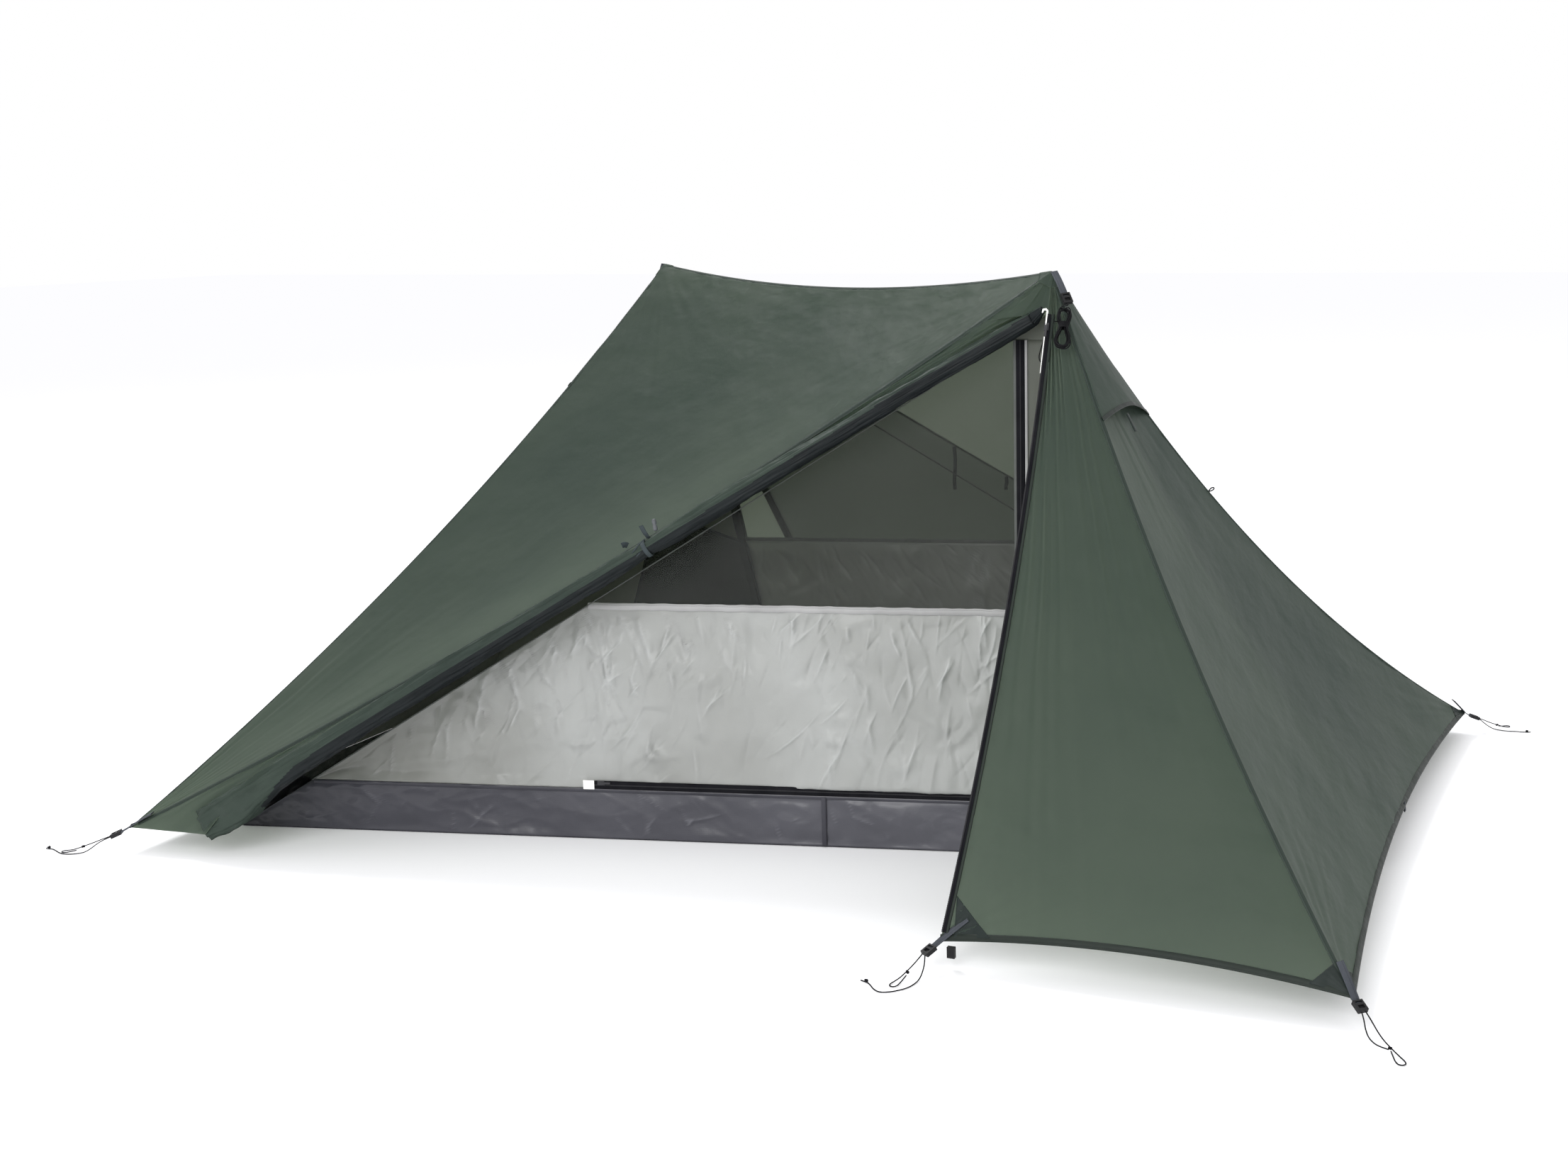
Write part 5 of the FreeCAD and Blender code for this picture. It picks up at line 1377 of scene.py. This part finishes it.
# Teardrop loops of cord stand out from the hips, and webbing loops hang from the end hems.
angle = np.linspace(-math.pi * 0.94, math.pi * 0.94, 40)
stretch = (1 + np.cos(angle)) / 2
outward, sideways = stretch[:, None] * 13, (np.sin(angle) * 4.5 * (0.35 + 0.65 * stretch))[:, None]
loop_root, loop_out, loop_along = hip_right(0.638), unit(np.array([0.75, 0.35, 0.56])), unit(C - P1)
for name, flip, turn in (("right", 1, 1), ("left", HALF_TURN, -1)):
    path = (loop_root + loop_out * outward * MM) * flip + loop_along * turn * sideways * MM
    tube_piece("hip_loop_" + name, path, 1.3 * MM, black_cord, "black_cord", "guy_out_loops")
for name, panel in (("right", end_right), ("left", end_left)):
    root = panel.plain(np.array(0.535), np.array(0.002))
    path = [root + (panel.normal * out - UP * drop) * MM
            for drop, out in ((-4, 0), (9, 2), (19, 3), (9, -2.4), (-3, -2))]
    strap("hem_loop_" + name, path, panel.along, grey_webbing, "guy_out_loops", half=5.5, thick=1.2)

KNOTS = [("front_left_loop", (-1364, -887.5, 11.3)), ("front_left_tail", (-1447, -899.8, 4)),
         ("front_door_loop", (519, -907.5, 10.8)), ("front_door_tail", (460, -946.6, 4)),
         ("front_right", (1336, -917, 6.6)), ("rear_right_loop", (1345, 909, 10.4)),
         ("rear_right_tail", (1417, 898.6, 4))]
angle = np.linspace(0, 2 * math.pi, 90, endpoint=False)
trefoil = np.stack([np.sin(angle) + 2 * np.sin(2 * angle), np.cos(angle) - 2 * np.cos(2 * angle),
                    -1.25 * np.sin(3 * angle)], axis=1)
for index, (name, place) in enumerate(KNOTS):
    lean = Matrix.Rotation(0.9 * index, 3, "Z") @ Matrix.Rotation(0.35, 3, "X")
    tube_piece("knot_" + name, spot(*place) + (np.array(lean) @ trefoil.T).T * 0.95 * MM, 1.15 * MM,
               black_cord, "black_cord", "cord_knots", closed=True)
for label in "ab":
    end = CORD_ROUTES["zip_pull_cord_" + label][-1]
    tube_piece("zip_knot_" + label, spot(*end) + trefoil * 0.7 * MM, 1.0 * MM, black_cord,
               "black_cord", body="fly_slider_front", closed=True)


# ---------------------------------------------------------------- tie-back of the door

tie_ring = int(TIE * (RINGS - 1))
angle = np.linspace(0, 2 * math.pi, 60)[:, None]
band_out = np.cos(angle) * roll_out[tie_ring] + np.sin(angle) * roll_up[tie_ring]
size = float(roll_size(TIE)) + 2.0 + 0.6 * np.sin(3 * angle)
ribbon("tie_band", centre[tie_ring] + band_out * size * MM,
       np.broadcast_to(roll_ahead[tie_ring], band_out.shape), band_out,
       [(-4.5, -0.6), (-4.5, 0.5), (-3.8, 1.0), (3.8, 1.0), (4.5, 0.5), (4.5, -0.6)], pale_webbing,
       "grey_webbing")


def near_tie(*steps):
    """Path of points given by their steps from the place on the seam above the tie."""
    return door_head(0.575) + np.array(steps, float) * MM


strap("tie_tab", near_tie((2, -3, -3), (1, -12, 6), (-3, -16, 15), (-7, -19, 27)),
      np.array([1.0, 0.1, 0.0]), pale_webbing, "guy_out_loops", half=5, thick=1.6)
strap("tie_stub", near_tie((-44, -12, -16), (-48, -17, -13), (-53, -20, -15)),
      np.array([0.4, 0.0, 0.9]), pale_webbing, half=6, thick=1.4)
loop_path = near_tie((0, -20, 0), (-6, -31, -8), (-16, -38, -22), (-25, -38, -33), (-23, -36, -40),
                     (-13, -37, -35), (-1, -34, -22), (4, -26, -8))
tube_piece("tie_loop", smooth_line(loop_path, 60), 1.7 * MM, pale_webbing, "grey_webbing")

TOGGLE_LENGTH, TOGGLE_RADIUS = 26, 4.5
toggle_low = door_head(0.59) + spot(-8, -23, 24)
toggle_way = unit(np.array([0.45, -0.45, -1.0]))
share = np.linspace(0, 1, 40)
waist = 1 - 0.28 * np.exp(-((share - 0.5) / 0.09) ** 2)
rounded = np.sqrt(np.clip(1 - np.abs(2 * share - 1) ** 8, 0.02, 1))
tube_piece("toggle_bar", toggle_low + toggle_way * (share * TOGGLE_LENGTH)[:, None] * MM,
           TOGGLE_RADIUS * waist * rounded * MM, grey_plastic, "black_plastic", "door_toggle",
           "door_toggle", sides=20)


# ---------------------------------------------------------------- hanging ties and struts

SWAY = spot(4, -3, 0)
for index, (share, long) in enumerate(((0.636, 0.105), (0.571, 0.032))):
    top = rear_head(share) - UP * 0.006
    path = [top, top - UP * long * 0.4 + SWAY, top - UP * long * 0.75 - SWAY * 0.6, top - UP * long]
    strap("inner_tie_rear_%d" % index, path, np.array([1.0, 0.2, 0.0]), black_tape, half=4.5,
          thick=1.0, slot="zip_tape")

# Each strut's tab lies along the longest axis of the strut's own solid.
for side in ("right", "left"):
    name = "vent_strut_" + side
    corners = np.array([v.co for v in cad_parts[name].data.vertices])
    middle = corners.mean(axis=0)
    spread = corners - middle
    ways = np.linalg.eigh(spread.T @ spread)[1]
    long_way, wide_way = upward(ways[:, 2]), ways[:, 1]
    half = (spread @ long_way).max()
    strap("vent_tab_" + side, [middle + long_way * half * part for part in (1, 0.3, -0.4, -1)],
          wide_way, fly_dark, name, half=5.5, thick=1.8, body=name, slot="fly_cloth")

for name, peak, back in (("front", IP1, -9), ("rear", IP2, 9)):
    strap("inner_clip_strap_" + name, [peak + spot(0, back, up) for up in (14, 6, -6)],
          np.array([1.0, 0, 0]), grey_webbing, "inner_peak_clips", half=6, thick=1.6)

# Solids kept from the part, each with its material and the bevel of its edges in millimetres.
for names, material, bevel_width in (
        (["line_tensioners"], black_plastic, 1.4), (["hem_clips"], black_plastic, 1.6),
        (["pole_clamps", "pole_tips"], black_plastic, 0.8),
        (["pole_lever_front", "pole_lever_rear"], black_plastic, 0.9),
        (["pole_upper_front", "pole_upper_rear", "pole_lower_front", "pole_lower_rear"],
         pole_metal, 0.25),
        (["pole_foot_front", "pole_foot_rear"], pole_rubber, 0.8),
        (["fly_slider_front", "fly_slider_rear", "inner_slider_front", "inner_slider_rear"],
         slider_metal, 0.5)):
    for name in names:
        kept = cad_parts[name]
        kept.data.materials.clear()
        kept.data.materials.append(material)
        bevel = kept.modifiers.new("edges", "BEVEL")
        bevel.width, bevel.segments, bevel.limit_method = bevel_width * MM, 3, "ANGLE"


# ---------------------------------------------------------------- stage and lights

bpy.context.scene.view_settings.view_transform = "Standard"
world = bpy.data.worlds.new("studio")
world.use_nodes = True
world.node_tree.nodes["Background"].inputs["Color"].default_value = (1, 1, 1, 1)
world.node_tree.nodes["Background"].inputs["Strength"].default_value = 1.0
bpy.context.scene.world = world

STAGE_HALF, STAGE_TOP = 30, -0.0006
floor_mesh = bpy.data.meshes.new("studio_floor")
floor_mesh.from_pydata([(x * STAGE_HALF, y * STAGE_HALF, STAGE_TOP)
                        for x, y in ((-1, -1), (1, -1), (1, 1), (-1, 1))], [], [(0, 1, 2, 3)])
floor_mesh.materials.append(new_material(
    "studio_floor", (0.9, 0.9, 0.92), 0.95, Specular_IOR_Level=0.0, Emission_Color=(1, 1, 1, 1),
    Emission_Strength=0.08))
add_object("studio_floor", floor_mesh)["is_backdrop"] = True


def softbox(name, place, target, size, power):
    data = bpy.data.lights.new(name, "AREA")
    data.shape = "DISK"
    data.size = size
    data.energy = power
    lamp = add_object(name, data)
    lamp.location = place
    lamp.rotation_mode = "QUATERNION"
    lamp.rotation_quaternion = (Vector(target) - Vector(place)).to_track_quat("-Z", "Y")


softbox("key", place=(-3.0, 1.6, 6.0), target=(0, 0, 0.4), size=2.4, power=250)
softbox("fill", place=(0.5, -5.5, 3.2), target=(0.2, -0.4, 0.5), size=4.0, power=190)

# ---------------------------------------------------------------- closing

low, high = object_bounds()
{"cad": [list(cad_low), list(cad_high)], "visual": [list(low), list(high)]}
